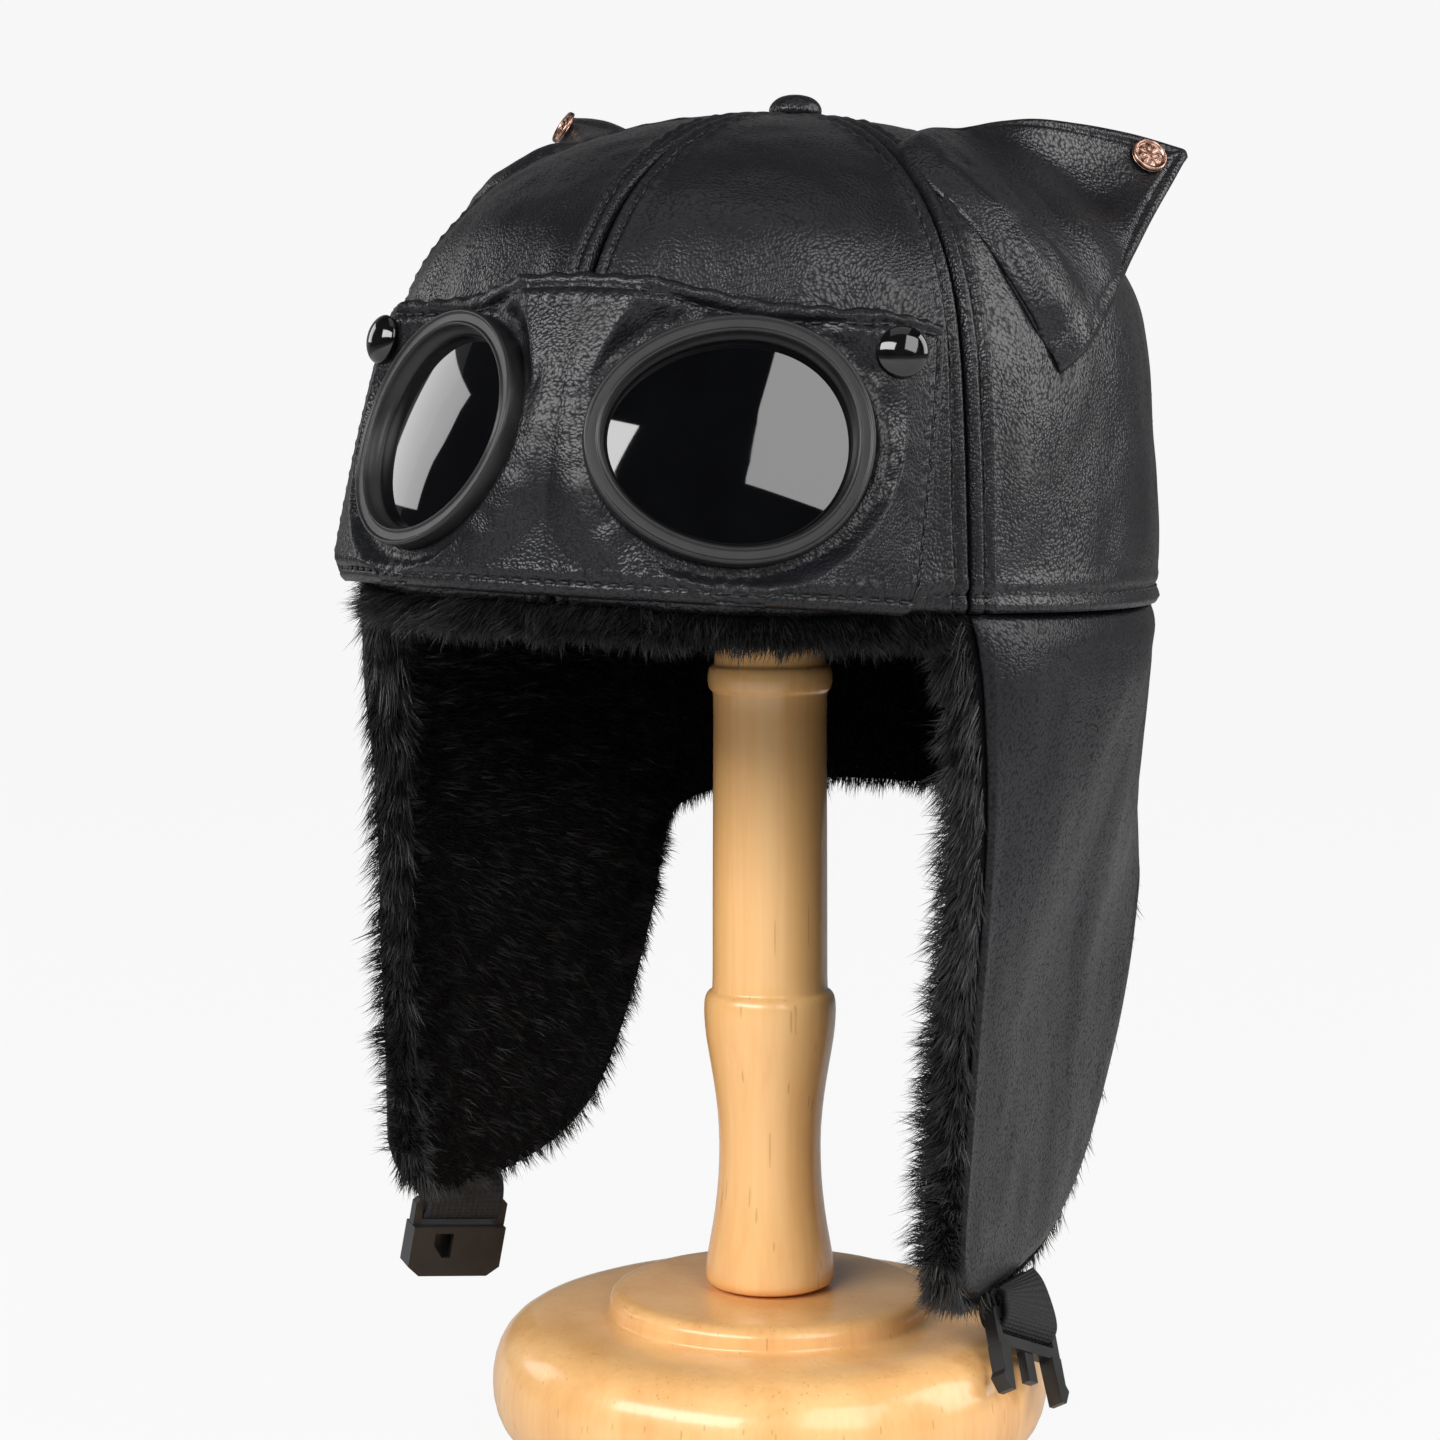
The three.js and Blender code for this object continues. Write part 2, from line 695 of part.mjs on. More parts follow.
// Place a turned body on a point with its axis along a direction
function stood(geometry, at, direction) {
  const turn = new THREE.Quaternion().setFromUnitVectors(vec(0, 0, 1), direction.clone().normalize());
  return geometry.clone().applyQuaternion(turn).translate(at.x, at.y, at.z);
}

// Press snaps: domed caps on the band's upper corners
const snapAlong = 0.8;
const snapHeight = 0.865;
const snapU = 0.5 + snapAlong / 2;
const snapAt = raised(bandSurface, snapU, snapHeight, gap, bandInside);
const snapOut = raised(bandSurface, snapU, snapHeight, 1 + gap, bandInside).sub(snapAt);
const snapCap = turnedGeometry(
  [
    [0, 0.1],
    [snapRadius * 0.96, 0.1],
    [snapRadius, 0.8],
    [snapRadius * 0.85, 1.9],
    [snapRadius * 0.5, 2.7],
    [0, 3],
  ],
  14,
);
const snap = stood(snapCap, snapAt, snapOut);
add(helmet, "snap_left", snap, "enamel");
add(helmet, "snap_right", mirrored(snap), "enamel");

// Straps: a short loop of webbing, sewn in at the flap's tip, round the bar of its buckle half
const loopPath = [
  { down: 1.8, out: -0.9 },
  { down: 5, out: -2.7 },
  { down: 10.5, out: -3.4 },
  { down: 14, out: -2.8 },
  { down: 15.8, out: 0 },
  { down: 14, out: 2.8 },
  { down: 10.5, out: 3.4 },
  { down: 5, out: 2.7 },
  { down: 1.8, out: 0.9 },
];
const loopSteps = 16;
function loopPoint(u, v, depth, twist, slant) {
  const at = (share) => vec(0, column(loopPath, "down", share), column(loopPath, "out", share));
  const way = at(Math.min(1, u + 0.01)).sub(at(Math.max(0, u - 0.01))).normalize();
  const point = at(u);
  point.y += way.z * depth;
  point.z -= way.y * depth;
  point.x = (v - 0.5) * strapWidth;
  const settled = ramp(1, bar.top, point.y);
  point.y += point.x * slant * (1 - settled);
  return point.applyAxisAngle(vec(0, 1, 0), twist * degrees * settled);
}

// Buckle halves share a frame with a bar; the sizes are down from the flap's tip
const bar = { top: 10.9, foot: 13.7, slot: 17.6, wide: 12.5, deep: 1.6 };
function buckleFrame(foot, chamfer) {
  const plate = prismSolid(
    [
      [-bar.wide + 1, bar.top],
      [bar.wide - 1, bar.top],
      [bar.wide, bar.top + 1],
      [bar.wide, foot - chamfer],
      [bar.wide - chamfer, foot],
      [-bar.wide + chamfer, foot],
      [-bar.wide, foot - chamfer],
      [-bar.wide, bar.top + 1],
    ],
    -bar.deep,
    bar.deep,
  );
  const room = strapWidth / 2 + 0.3;
  const slot = prismSolid(
    [
      [-room, bar.foot],
      [room, bar.foot],
      [room, bar.slot],
      [-room, bar.slot],
    ],
    -9,
    9,
  );
  return { plate, slot };
}
const square = (a0, a1, d0, d1, n0, n1) =>
  prismSolid(
    [
      [a0, d0],
      [a1, d0],
      [a1, d1],
      [a0, d1],
    ],
    n0,
    n1,
  );
function maleBuckle() {
  const { plate, slot } = buckleFrame(20.4, 0.6);
  const prong = (sign) =>
    prismSolid(
      [
        [sign * 8.6, 20],
        [sign * 12.3, 20],
        [sign * 12.3, 26.5],
        [sign * 13.3, 28],
        [sign * 11.2, 31.2],
        [sign * 9.4, 31.2],
      ],
      -1.9,
      1.9,
    );
  const guide = square(-1.7, 1.7, 20, 27.5, -1.1, 1.1);
  return plate.subtract(slot).add(prong(1)).add(prong(-1)).add(guide);
}
function femaleBuckle() {
  const { plate, slot } = buckleFrame(18.2, 0.6);
  const body = prismSolid(
    [
      [-bar.wide, 17.8],
      [bar.wide, 17.8],
      [bar.wide, 28.5],
      [bar.wide - 3.2, 31],
      [-bar.wide + 3.2, 31],
      [-bar.wide, 28.5],
    ],
    -3.4,
    3.4,
  );
  const socket = square(-bar.wide + 1.6, bar.wide - 1.6, 20.5, 32, -1.9, 1.9);
  const catchWindow = prismSolid(
    [
      [-6.5, 19.5],
      [-1.5, 19.5],
      [-1.5, 26],
      [-3.8, 26],
      [-6.5, 22.6],
    ],
    0,
    9,
  );
  return plate.subtract(slot).add(body).subtract(socket).subtract(catchWindow);
}
for (const side of ["left", "right"]) {
  const frame = strapFrame(side);
  const place = side === "left" ? (g) => g : mirrored;
  const { twist } = strapHang[side];
  const outerFace = (u, v) => loopPoint(u, v, strapThickness / 2, twist, frame.slant);
  const innerFace = (u, v) => loopPoint(u, v, -strapThickness / 2, twist, frame.slant);
  const loop = wallGeometry(outerFace, innerFace, loopSteps, 1).applyMatrix4(frame.matrix);
  add(helmet, "strap_" + side, place(loop), "webbing");
  const half = side === "left" ? maleBuckle() : femaleBuckle();
  const name = side === "left" ? "buckle_male" : "buckle_female";
  const turned = half.transform(frame.turned.toArray());
  add(helmet, name, place(fromSolid(frame.put(turned))), "plastic");
}

// Ears: each is a fan from its base line on the crown to its tip, in two layers. The base line from the
// top of the crown to the lower end: degrees round, share of the crown's height, how far the ear cups back
// and how far its top edge bows up. The wearer's right ear is sewn on further back at both ends.
const earBase = [
  { round: 68, height: 0.95, cup: 0, bow: 5 },
  { round: 55, height: 0.91, cup: 4, bow: 3 },
  { round: 54.5, height: 0.845, cup: 7, bow: 1.5 },
  { round: 60, height: 0.745, cup: 8, bow: 0 },
  { round: 64.5, height: 0.63, cup: 5, bow: 0 },
  { round: 71.5, height: 0.465, cup: 0, bow: 0 },
];
const earTips = {
  left: { at: vec(84, 40, 106.5), topTurn: 0, lowTurn: 0 },
  right: { at: vec(84, 40, 115.2), topTurn: 30, lowTurn: 28 },
};
const earTipWidth = 3;
const earThickness = 1.3;
const earHeart = vec(0, 0, 0.36 * crownHeight);

// Distance from a point inside the crown to its leather, along the way to another point
function crownReach(to) {
  const way = to.clone().sub(earHeart);
  let low = 0;
  let high = 1.6;
  for (let n = 0; n < 22; n++) {
    const middle = (low + high) / 2;
    const at = earHeart.clone().addScaledVector(way, middle);
    const round = Math.atan2(at.x / rimHalfWidth, -at.y / rimHalfLength) / degrees;
    const rise = riseAt(Math.max(0, at.z));
    const surface = crownShape(round, rise, 0);
    const inside = at.z < crownHeight && Math.hypot(at.x, at.y) < Math.hypot(surface.x, surface.y);
    if (inside) low = middle;
    else high = middle;
  }
  return low * way.length();
}

// Point moved out where it comes closer to the crown than a clearance
function clearOfCrown(point, clearance) {
  const way = point.clone().sub(earHeart);
  const least = crownReach(point) + clearance;
  if (way.length() < least) way.setLength(least);
  return way.add(earHeart);
}

function earSurface(side, clearance) {
  const { at: tip, topTurn, lowTurn } = earTips[side];
  const foot = (u) => {
    const turn = lowTurn * ramp(0.3, 1, u) + topTurn * (1 - ramp(0, 0.35, u));
    return crownPoint(column(earBase, "round", u) + turn, riseAt(column(earBase, "height", u) * crownHeight));
  };
  const top = foot(0);
  const spread = foot(1).sub(top).normalize();
  const backward = vec(0, 0, 0)
    .crossVectors(spread, tip.clone().sub(top))
    .normalize();
  if (backward.y < 0) backward.negate();
  return (u, v) => {
    const end = tip.clone().addScaledVector(spread, (u - 0.5) * earTipWidth);
    const at = foot(u).lerp(end, v);
    at.addScaledVector(backward, column(earBase, "cup", u) * Math.sin(Math.PI * v) ** 1.4);
    at.z += column(earBase, "bow", u) * Math.sin(Math.PI * v);
    return clearOfCrown(at, clearance);
  };
}
const earAcross = 8;
const earUp = 6;
const layerStep = earThickness + gap;
for (const side of ["left", "right"]) {
  const place = side === "left" ? (g) => g : mirrored;
  const surface = earSurface(side, 0.9 + 2 * layerStep);
  const behind = (at) => at.clone().add(vec(-20, 60, -30));
  const face = sheetGeometry(surface, 0, -earThickness, earAcross, earUp, behind);
  const rear = sheetGeometry(surface, -layerStep, -layerStep - earThickness, earAcross, earUp, behind);
  const rivetU = 0.42;
  const rivetV = 0.86;
  const rivetAt = raised(surface, rivetU, rivetV, 0.8, behind);
  const rivetOut = raised(surface, rivetU, rivetV, 1.8, behind).sub(rivetAt);
  const rivetCap = turnedGeometry(
    [
      [0, 0],
      [rivetRadius * 0.94, 0],
      [rivetRadius, 0.5],
      [rivetRadius * 0.9, 1.1],
      [rivetRadius * 0.72, 0.8],
      [0, 0.9],
    ],
    12,
  );
  add(helmet, "ear_front_" + side, place(face), "leather");
  add(helmet, "ear_back_" + side, place(rear), "leather");
  add(helmet, "ear_rivet_" + side, place(stood(rivetCap, rivetAt, rivetOut)), "copper");
}

// Stand: a base with a rounded edge and a raised step, and a turned post with a hidden cap in the crown
const edge = baseHeight / 2;
const base = turnedGeometry(
  [
    [0, 0],
    [baseRadius - edge * 0.75, 0],
    [baseRadius - edge * 0.3, 2.2],
    [baseRadius - edge * 0.06, edge * 0.55],
    [baseRadius, edge * 1.05],
    [baseRadius - edge * 0.06, edge * 1.45],
    [baseRadius - edge * 0.28, baseHeight - 2.6],
    [baseRadius - edge * 0.7, baseHeight - 0.3],
    [stepRadius, baseHeight],
    [stepRadius + 0.4, baseHeight + 1.5],
    [stepRadius + 0.2, baseHeight + stepHeight - 2],
    [stepRadius - 2, baseHeight + stepHeight],
    [0, baseHeight + stepHeight],
  ],
  32,
);
add(object, "stand_base", base, "wood");

const postFoot = baseHeight + stepHeight + gap;
const capTop = helmetShift.rimAbove + crownHeight - capSlack;
const capHeight = 18;
const postLength = capTop - postFoot;
// The post's outline: place as a share of its length, and radius as a share of its own
const postOutline = [
  { along: 0, size: 1.144 },
  { along: 0.0215, size: 1.108 },
  { along: 0.0815, size: 0.914 },
  { along: 0.1245, size: 0.878 },
  { along: 0.1747, size: 0.978 },
  { along: 0.2178, size: 1.122 },
  { along: 0.2429, size: 1.158 },
  { along: 0.2555, size: 1.122 },
  { along: 0.2609, size: 1 },
  { along: 0.5192, size: 0.98 },
  { along: 0.5228, size: 1.058 },
  { along: 0.5318, size: 1.079 },
  { along: 0.5407, size: 1.058 },
  { along: 0.5443, size: 0.95 },
  { along: 0.8636, size: 0.92 },
];
// The cap's outline: height as a share of the cap's, and radius as a share of its own
const capOutline = [
  { along: 0, size: 0.9 },
  { along: 0.39, size: 1 },
  { along: 0.68, size: 0.9 },
  { along: 0.89, size: 0.6 },
];
const postProfile = [
  ...postOutline.map((row) => [row.size * postRadius, postFoot + row.along * postLength]),
  ...capOutline.map((row) => [row.size * capRadius, capTop - capHeight + row.along * capHeight]),
];
const post = turnedGeometry(
  [[0, postFoot], ...postProfile, [0, capTop]],
  18,
);
add(object, "stand_post", post, "wood");

export default object;
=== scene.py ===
import bmesh
import bpy
import numpy as np
from mathutils import Matrix, Vector, noise


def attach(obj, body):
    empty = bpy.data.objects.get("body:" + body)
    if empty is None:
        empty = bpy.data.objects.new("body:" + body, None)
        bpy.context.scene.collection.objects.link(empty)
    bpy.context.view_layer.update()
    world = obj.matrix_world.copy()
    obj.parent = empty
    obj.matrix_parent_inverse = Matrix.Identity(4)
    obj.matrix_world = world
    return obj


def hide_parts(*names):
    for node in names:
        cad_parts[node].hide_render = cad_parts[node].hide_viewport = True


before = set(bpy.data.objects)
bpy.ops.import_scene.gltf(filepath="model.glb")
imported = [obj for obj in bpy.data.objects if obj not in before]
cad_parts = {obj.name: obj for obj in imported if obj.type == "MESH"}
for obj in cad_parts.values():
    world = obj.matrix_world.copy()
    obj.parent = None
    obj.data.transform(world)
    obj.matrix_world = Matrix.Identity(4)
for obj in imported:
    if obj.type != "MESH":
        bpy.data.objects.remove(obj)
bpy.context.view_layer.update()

# Stand
# A round base with a raised step and a slim post with a ring and a swelling foot, turned from pale wood,
# sanded and given a satin varnish. The post is glued upright into the base. The crown hides its cap.
base_outline = [
    (0.0, 0.0), (0.05, 0.0), (0.0585, 0.0012), (0.0642, 0.0052), (0.0671, 0.0108), (0.0678, 0.0168),
    (0.0672, 0.0226), (0.0650, 0.0279), (0.0608, 0.0315), (0.055, 0.0328), (0.048, 0.033), (0.0402, 0.033),
    (0.0393, 0.0334), (0.0392, 0.0348), (0.0392, 0.0362), (0.0387, 0.0376), (0.0372, 0.0387), (0.035, 0.039),
    (0.02, 0.039), (0.0, 0.039),
]
post_outline = [
    (0.0, 0.0393), (0.0159, 0.0393), (0.0158, 0.042), (0.0153, 0.047), (0.0139, 0.054), (0.0128, 0.062),
    (0.0123, 0.070), (0.0123, 0.078), (0.0131, 0.086), (0.0144, 0.094), (0.0156, 0.1005), (0.0160, 0.1055),
    (0.0160, 0.1085), (0.0157, 0.1105), (0.0149, 0.1116), (0.0141, 0.1119), (0.01388, 0.1124),
    (0.0139, 0.130), (0.01375, 0.160), (0.01365, 0.1838), (0.0138, 0.1843), (0.0145, 0.1846),
    (0.01495, 0.1858), (0.0151, 0.1875),
    (0.01495, 0.1892), (0.0145, 0.1904), (0.0137, 0.1907), (0.0132, 0.1912), (0.0130, 0.22), (0.0128, 0.28),
    (0.0165, 0.29), (0.0306, 0.300), (0.034, 0.307), (0.0306, 0.3122), (0.0204, 0.316), (0.0, 0.318),
]


def on_curve(rows, share):
    """Values at shares 0 to 1 of the rows of a table, on a smooth curve through the rows."""
    rows = np.asarray(rows, float)
    last = len(rows) - 1
    at = np.clip(share, 0, 1) * last
    i = np.minimum(last - 1, np.floor(at)).astype(int)
    t = (at - i)[..., None]
    ends = np.concatenate([[2 * rows[0] - rows[1]], rows, [2 * rows[-1] - rows[-2]]])
    before, start, end, after = (ends[i + k] for k in range(4))
    leave = (end - before) / 2
    arrive = (after - start) / 2
    t2 = t * t
    t3 = t2 * t
    places = (2 * t3 - 3 * t2 + 1) * start + (3 * t2 - 2 * t3) * end
    return places + (t3 - 2 * t2 + t) * leave + (t3 - t2) * arrive


def shown(name, mesh, finish, replaced=()):
    """Object of a mesh at the origin, smooth shaded, with its material and its place in the frame."""
    mesh.polygons.foreach_set("use_smooth", [True] * len(mesh.polygons))
    mesh.materials.append(finish)
    piece = bpy.data.objects.new(name, mesh)
    bpy.context.collection.objects.link(piece)
    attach(piece, "root")
    if replaced:
        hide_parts(*replaced)
    return piece


def finished_piece(name, shape, finish, replaced=()):
    """Piece made from a bmesh shape."""
    mesh = bpy.data.meshes.new(name)
    shape.to_mesh(mesh)
    shape.free()
    return shown(name, mesh, finish, replaced)


def joined_piece(name, points, faces, finish):
    """Piece made from many small repeated shapes at once, by their points and faces."""
    mesh = bpy.data.meshes.new(name)
    mesh.from_pydata(points.tolist(), [], faces)
    return shown(name, mesh, finish)


def turned_shape(outline, steps):
    """Shape turned about the upright axis from an outline of (radius, height)."""
    shape = bmesh.new()
    line = [shape.verts.new((radius, 0, height)) for radius, height in outline]
    for a, b in zip(line, line[1:]):
        shape.edges.new((a, b))
    bmesh.ops.spin(shape, geom=shape.verts[:] + shape.edges[:], cent=(0, 0, 0), axis=(0, 0, 1),
                   angle=2 * np.pi, steps=steps, use_merge=True)
    bmesh.ops.remove_doubles(shape, verts=shape.verts[:], dist=1e-6)
    bmesh.ops.recalc_face_normals(shape, faces=shape.faces[:])
    return shape


def new_group(name, inputs, outputs):
    """Shader node group with named inputs (name, kind, value) and outputs (name, kind)."""
    group = bpy.data.node_groups.new(name, "ShaderNodeTree")
    for label, kind, value in inputs:
        socket = group.interface.new_socket(label, in_out="INPUT", socket_type="NodeSocket" + kind)
        if value is not None:
            socket.default_value = value
    for label, kind in outputs:
        group.interface.new_socket(label, in_out="OUTPUT", socket_type="NodeSocket" + kind)
    return group, group.nodes.new("NodeGroupInput").outputs, group.nodes.new("NodeGroupOutput").inputs


def node(tree, kind, values=None, links=None, **settings):
    """Shader node with its settings, its sockets' values and the sockets that feed it."""
    made = tree.nodes.new("ShaderNode" + kind)
    for key, value in settings.items():
        setattr(made, key, value)
    for key, value in (values or {}).items():
        made.inputs[key].default_value = value
    for key, source in (links or {}).items():
        tree.links.new(source, made.inputs[key])
    return made


def new_material(name):
    """Material with its node tree, its shader and the object's own coordinates."""
    material = bpy.data.materials.new(name)
    material.use_nodes = True
    tree = material.node_tree
    return material, tree, tree.nodes["Principled BSDF"], node(tree, "TexCoord").outputs["Object"]


def maths(tree, operation, a, b=None, clamp=False):
    """Output of a Math node of two values, each a socket or a number."""
    made = tree.nodes.new("ShaderNodeMath")
    made.operation = operation
    made.use_clamp = clamp
    for i, value in enumerate((a, b)):
        if value is None:
            continue
        if isinstance(value, (int, float)):
            made.inputs[i].default_value = value
        else:
            tree.links.new(value, made.inputs[i])
    return made.outputs[0]


def colour_steps(tree, factor, steps):
    """Colour ramp of (position, colour) steps on a factor."""
    ramp = node(tree, "ValToRGB", links={"Fac": factor})
    while len(ramp.color_ramp.elements) < len(steps):
        ramp.color_ramp.elements.new(0.5)
    for element, (position, colour) in zip(ramp.color_ramp.elements, steps):
        element.position = position
        element.color = (*colour, 1)
    return ramp.outputs["Color"]


def wood(name, turn, stretch):
    """Varnished wood, with the grain drawn out along the Z of the turned and stretched coordinates."""
    material, tree, shader, at = new_material(name)
    along = node(tree, "Mapping", {"Rotation": turn, "Scale": stretch}, {"Vector": at}).outputs["Vector"]
    bands = node(tree, "TexNoise", {"Scale": 55.0, "Detail": 5.0, "Roughness": 0.55, "Distortion": 0.2},
                 {"Vector": along}).outputs["Fac"]
    fibres = node(tree, "TexNoise", {"Scale": 620.0, "Detail": 3.0, "Roughness": 0.6},
                  {"Vector": along}).outputs["Fac"]
    pores = node(tree, "TexVoronoi", {"Scale": 520.0, "Randomness": 1.0},
                 {"Vector": along}).outputs["Distance"]
    pore_marks = maths(tree, "LESS_THAN", pores, 0.13)
    blend = maths(tree, "ADD", maths(tree, "MULTIPLY", bands, 0.72), maths(tree, "MULTIPLY", fibres, 0.28))
    grain = colour_steps(tree, blend, [
        (0.24, (0.75, 0.365, 0.12)),
        (0.42, (0.90, 0.485, 0.18)),
        (0.58, (0.97, 0.565, 0.228)),
        (0.78, (1.0, 0.645, 0.285)),
    ])
    marked = node(tree, "Mix", {"B": (0.36, 0.15, 0.05, 1)}, {"A": grain}, data_type="RGBA")
    tree.links.new(maths(tree, "MULTIPLY", pore_marks, 0.35), marked.inputs["Factor"])
    tree.links.new(marked.outputs["Result"], shader.inputs["Base Color"])
    rough = maths(tree, "ADD", maths(tree, "MULTIPLY", fibres, 0.12), 0.26)
    tree.links.new(rough, shader.inputs["Roughness"])
    shader.inputs["Coat Weight"].default_value = 0.5
    shader.inputs["Coat Roughness"].default_value = 0.12
    shader.inputs["IOR"].default_value = 1.48
    bump = node(tree, "Bump", {"Strength": 0.25, "Distance": 0.00012}, {"Height": blend})
    tree.links.new(bump.outputs["Normal"], shader.inputs["Normal"])
    return material


def rounded(piece, levels):
    """Smooths a piece's outline."""
    rounding = piece.modifiers.new("rounding", "SUBSURF")
    rounding.levels = rounding.render_levels = levels


for wood_name, wood_outline, grain_turn, grain_stretch in (
    ("stand_base", base_outline, (0, np.pi / 2, 0.3), (1.0, 1.0, 0.07)),
    ("stand_post", post_outline, (0, 0, 0), (1.0, 1.0, 0.035)),
):
    grained = wood(wood_name + "_wood", grain_turn, grain_stretch)
    stand_shape = turned_shape(wood_outline, 96)
    rounded(finished_piece(wood_name + "_turned", stand_shape, grained, (wood_name,)), 1)

# Crown
# Six gores of soft black pebbled leather, sewn edge to edge, each seam pressed open and topstitched down on
# both sides, with a hem folded under and stitched along the rim. Lengths of the helmet are in mm.
rim_half_width = 91
rim_half_length = 107
rim_mean_radius = (rim_half_width + rim_half_length) / 2
crown_height = 110.5
leather = 1.5
crown_rise = [
    (0.0, 1.0), (0.17, 0.985), (0.34, 0.965), (0.5, 0.938), (0.64, 0.888), (0.76, 0.792), (0.86, 0.648),
    (0.93, 0.49), (0.975, 0.315), (0.995, 0.145), (1.0, 0.04),
]
front_seam = 57
front_seam_swing = 7
back_seam = 118
gore_puff = 2.2
gore_top = 0.992
seam_reach = 7.0
seam_columns = 0.2
seam_row = 3.9
hem_row = 3.6
stitch_pitch = 3.7
helmet_roll = np.radians(2.2)
helmet_lean = 0.035
helmet_shift = (-2.5, 2, 209.6)


def ramp(a, b, x):
    """Smooth step from 0 at a to 1 at b."""
    t = np.clip((x - a) / (b - a), 0, 1)
    return t * t * (3 - 2 * t)


def bell(x, middle, width):
    """Smooth hump of height 1 at the middle."""
    return np.exp(-(((x - middle) / width) ** 2))


def on_stand(points):
    """Points of the helmet, in its own millimetres, in metres on the stand: it leans and rolls a little."""
    x, y, z = np.moveaxis(np.asarray(points, float), -1, 0)
    x = x + helmet_lean * z
    across = x * np.cos(helmet_roll) + z * np.sin(helmet_roll)
    high = z * np.cos(helmet_roll) - x * np.sin(helmet_roll)
    return np.stack([across + helmet_shift[0], y + helmet_shift[1], high + helmet_shift[2]], -1) / 1000


def unit(vectors):
    return vectors / np.maximum(1e-9, np.linalg.norm(vectors, axis=-1, keepdims=True))


def facing(surface, u, v, inside):
    """Directions square to surface(u, v), away from a point inside."""
    step = 0.003
    along = surface(np.minimum(1, u + step), v) - surface(np.maximum(0, u - step), v)
    upward = surface(u, np.minimum(1, v + step)) - surface(u, np.maximum(0, v - step))
    square = unit(np.cross(along, upward))
    at = surface(u, v)
    turn = np.sign(np.sum(square * (at - inside(at)), -1, keepdims=True))
    return square * np.where(turn == 0, 1, turn)


def raised(surface, u, v, distance, inside):
    return surface(u, v) + facing(surface, u, v, inside) * np.asarray(distance)[..., None]


def rumple(points, size, seed):
    """Smooth uneven lumps from -1 to 1 at points, with a size along each axis."""
    scaled = points / np.asarray(size, float) + seed
    return np.array([noise.noise(Vector(p)) for p in scaled])


rise_table = np.linspace(0, 1, 400)
height_table = on_curve(crown_rise, rise_table)[:, 0] * crown_height


def rise_at(height):
    """Share up the crown's outline at a height."""
    return np.interp(height, height_table, rise_table)


# The goggles press the crown back behind them, so their place is set here
ring_half_width = 30.1
ring_half_height = 26.4
ring_centre = np.array([35.9, -98.3, 35.7])
ring_yaw = np.radians(30)
ring_pitch = np.radians(15.7)
ring_normal = np.array([
    np.sin(ring_yaw) * np.cos(ring_pitch),
    -np.cos(ring_yaw) * np.cos(ring_pitch),
    np.sin(ring_pitch),
])
ring_across = np.array([np.cos(ring_yaw), np.sin(ring_yaw), 0])
ring_up = -np.cross(ring_across, ring_normal)
press_depth = 10.5


def ring_place(points):
    """Share of the goggle's outline that each point is at, and its distance from the goggle's face."""
    away = np.stack([np.abs(points[..., 0]), points[..., 1], points[..., 2]], -1) - ring_centre
    across = (away @ ring_across - 1) / ring_half_width
    up = away @ ring_up / ring_half_height
    return np.hypot(across, up), away @ ring_normal


def outward(x):
    """The goggle's facing direction on the side of each x."""
    side = np.where(x < 0, -1.0, 1.0)
    return np.stack([side * ring_normal[0], 0 * side + ring_normal[1], 0 * side + ring_normal[2]], -1)


def seams_at(rise):
    """Degrees round at which a gore's seams lie, from the front to the back, at a share up the crown."""
    return [0 * rise, front_seam - front_seam_swing * rise, 0 * rise + back_seam, 0 * rise + 180]


def crown_shape(degrees_round, rise, off=0.0):
    """Crown before the goggles press on it, by degrees from the front, share up and distance off it."""
    seams = seams_at(rise)
    size = np.minimum(180, np.abs(degrees_round))
    share = np.where(size <= seams[1], size / seams[1],
                     np.where(size <= seams[2], (size - seams[1]) / (seams[2] - seams[1]),
                              (size - seams[2]) / (seams[3] - seams[2])))
    table = on_curve(crown_rise, rise)
    radius = table[..., 1] * (1 + gore_puff / rim_half_width * np.sin(np.pi * share))
    angle = np.radians(degrees_round)
    return np.stack([
        (rim_half_width * radius + off) * np.sin(angle),
        -(rim_half_length * radius + off) * np.cos(angle),
        table[..., 0] * crown_height,
    ], -1)


def crown_point(degrees_round, rise):
    """Crown as the goggles press it back."""
    point = crown_shape(degrees_round, rise)
    share, off = ring_place(point)
    # Pressed flat behind the goggle, it comes forward again slowly above the band
    weight = (1 - 0.5 * ramp(0.98, 1.2, share)) * (1 - ramp(1.15, 2.3, share))
    back = np.maximum(0, off + press_depth) * weight * ramp(2, 18, np.abs(point[..., 0]))
    return point - outward(point[..., 0]) * back[..., None]


def crown_inside(at):
    return np.stack([0 * at[..., 0], 0 * at[..., 0], np.minimum(at[..., 2], crown_height * 0.35)], -1)


def gore_width(k, v):
    """Width of a gore in mm."""
    rise = v * gore_top
    seams = seams_at(rise)
    radius = on_curve(crown_rise, rise)[..., 1] * rim_mean_radius
    return np.radians(seams[k + 1] - seams[k]) * radius


def gore_reach(u, width):
    """Distance in mm from a gore's first seam, at a share across, with more columns by the seams."""
    reach = np.minimum(seam_reach, 0.3 * width)
    middle = reach + (width - 2 * reach) * (u - seam_columns) / (1 - 2 * seam_columns)
    by_last = np.where(u > 1 - seam_columns, width - reach * (1 - u) / seam_columns, middle)
    return np.where(u < seam_columns, reach * u / seam_columns, by_last)


def gore_surface(k):
    """Plain surface of a gore, by share across and up."""
    def surface(u, v):
        rise = v * gore_top
        seams = seams_at(rise)
        width = gore_width(k, v)
        share = gore_reach(u, width) / width
        return crown_point(seams[k] + (seams[k + 1] - seams[k]) * share, rise)
    return surface


def puckers(along):
    """How hard the thread pulls between its holes, from 0 to 1, along a row of stitches in mm."""
    return 0.5 + 0.5 * np.cos(2 * np.pi * along / stitch_pitch)


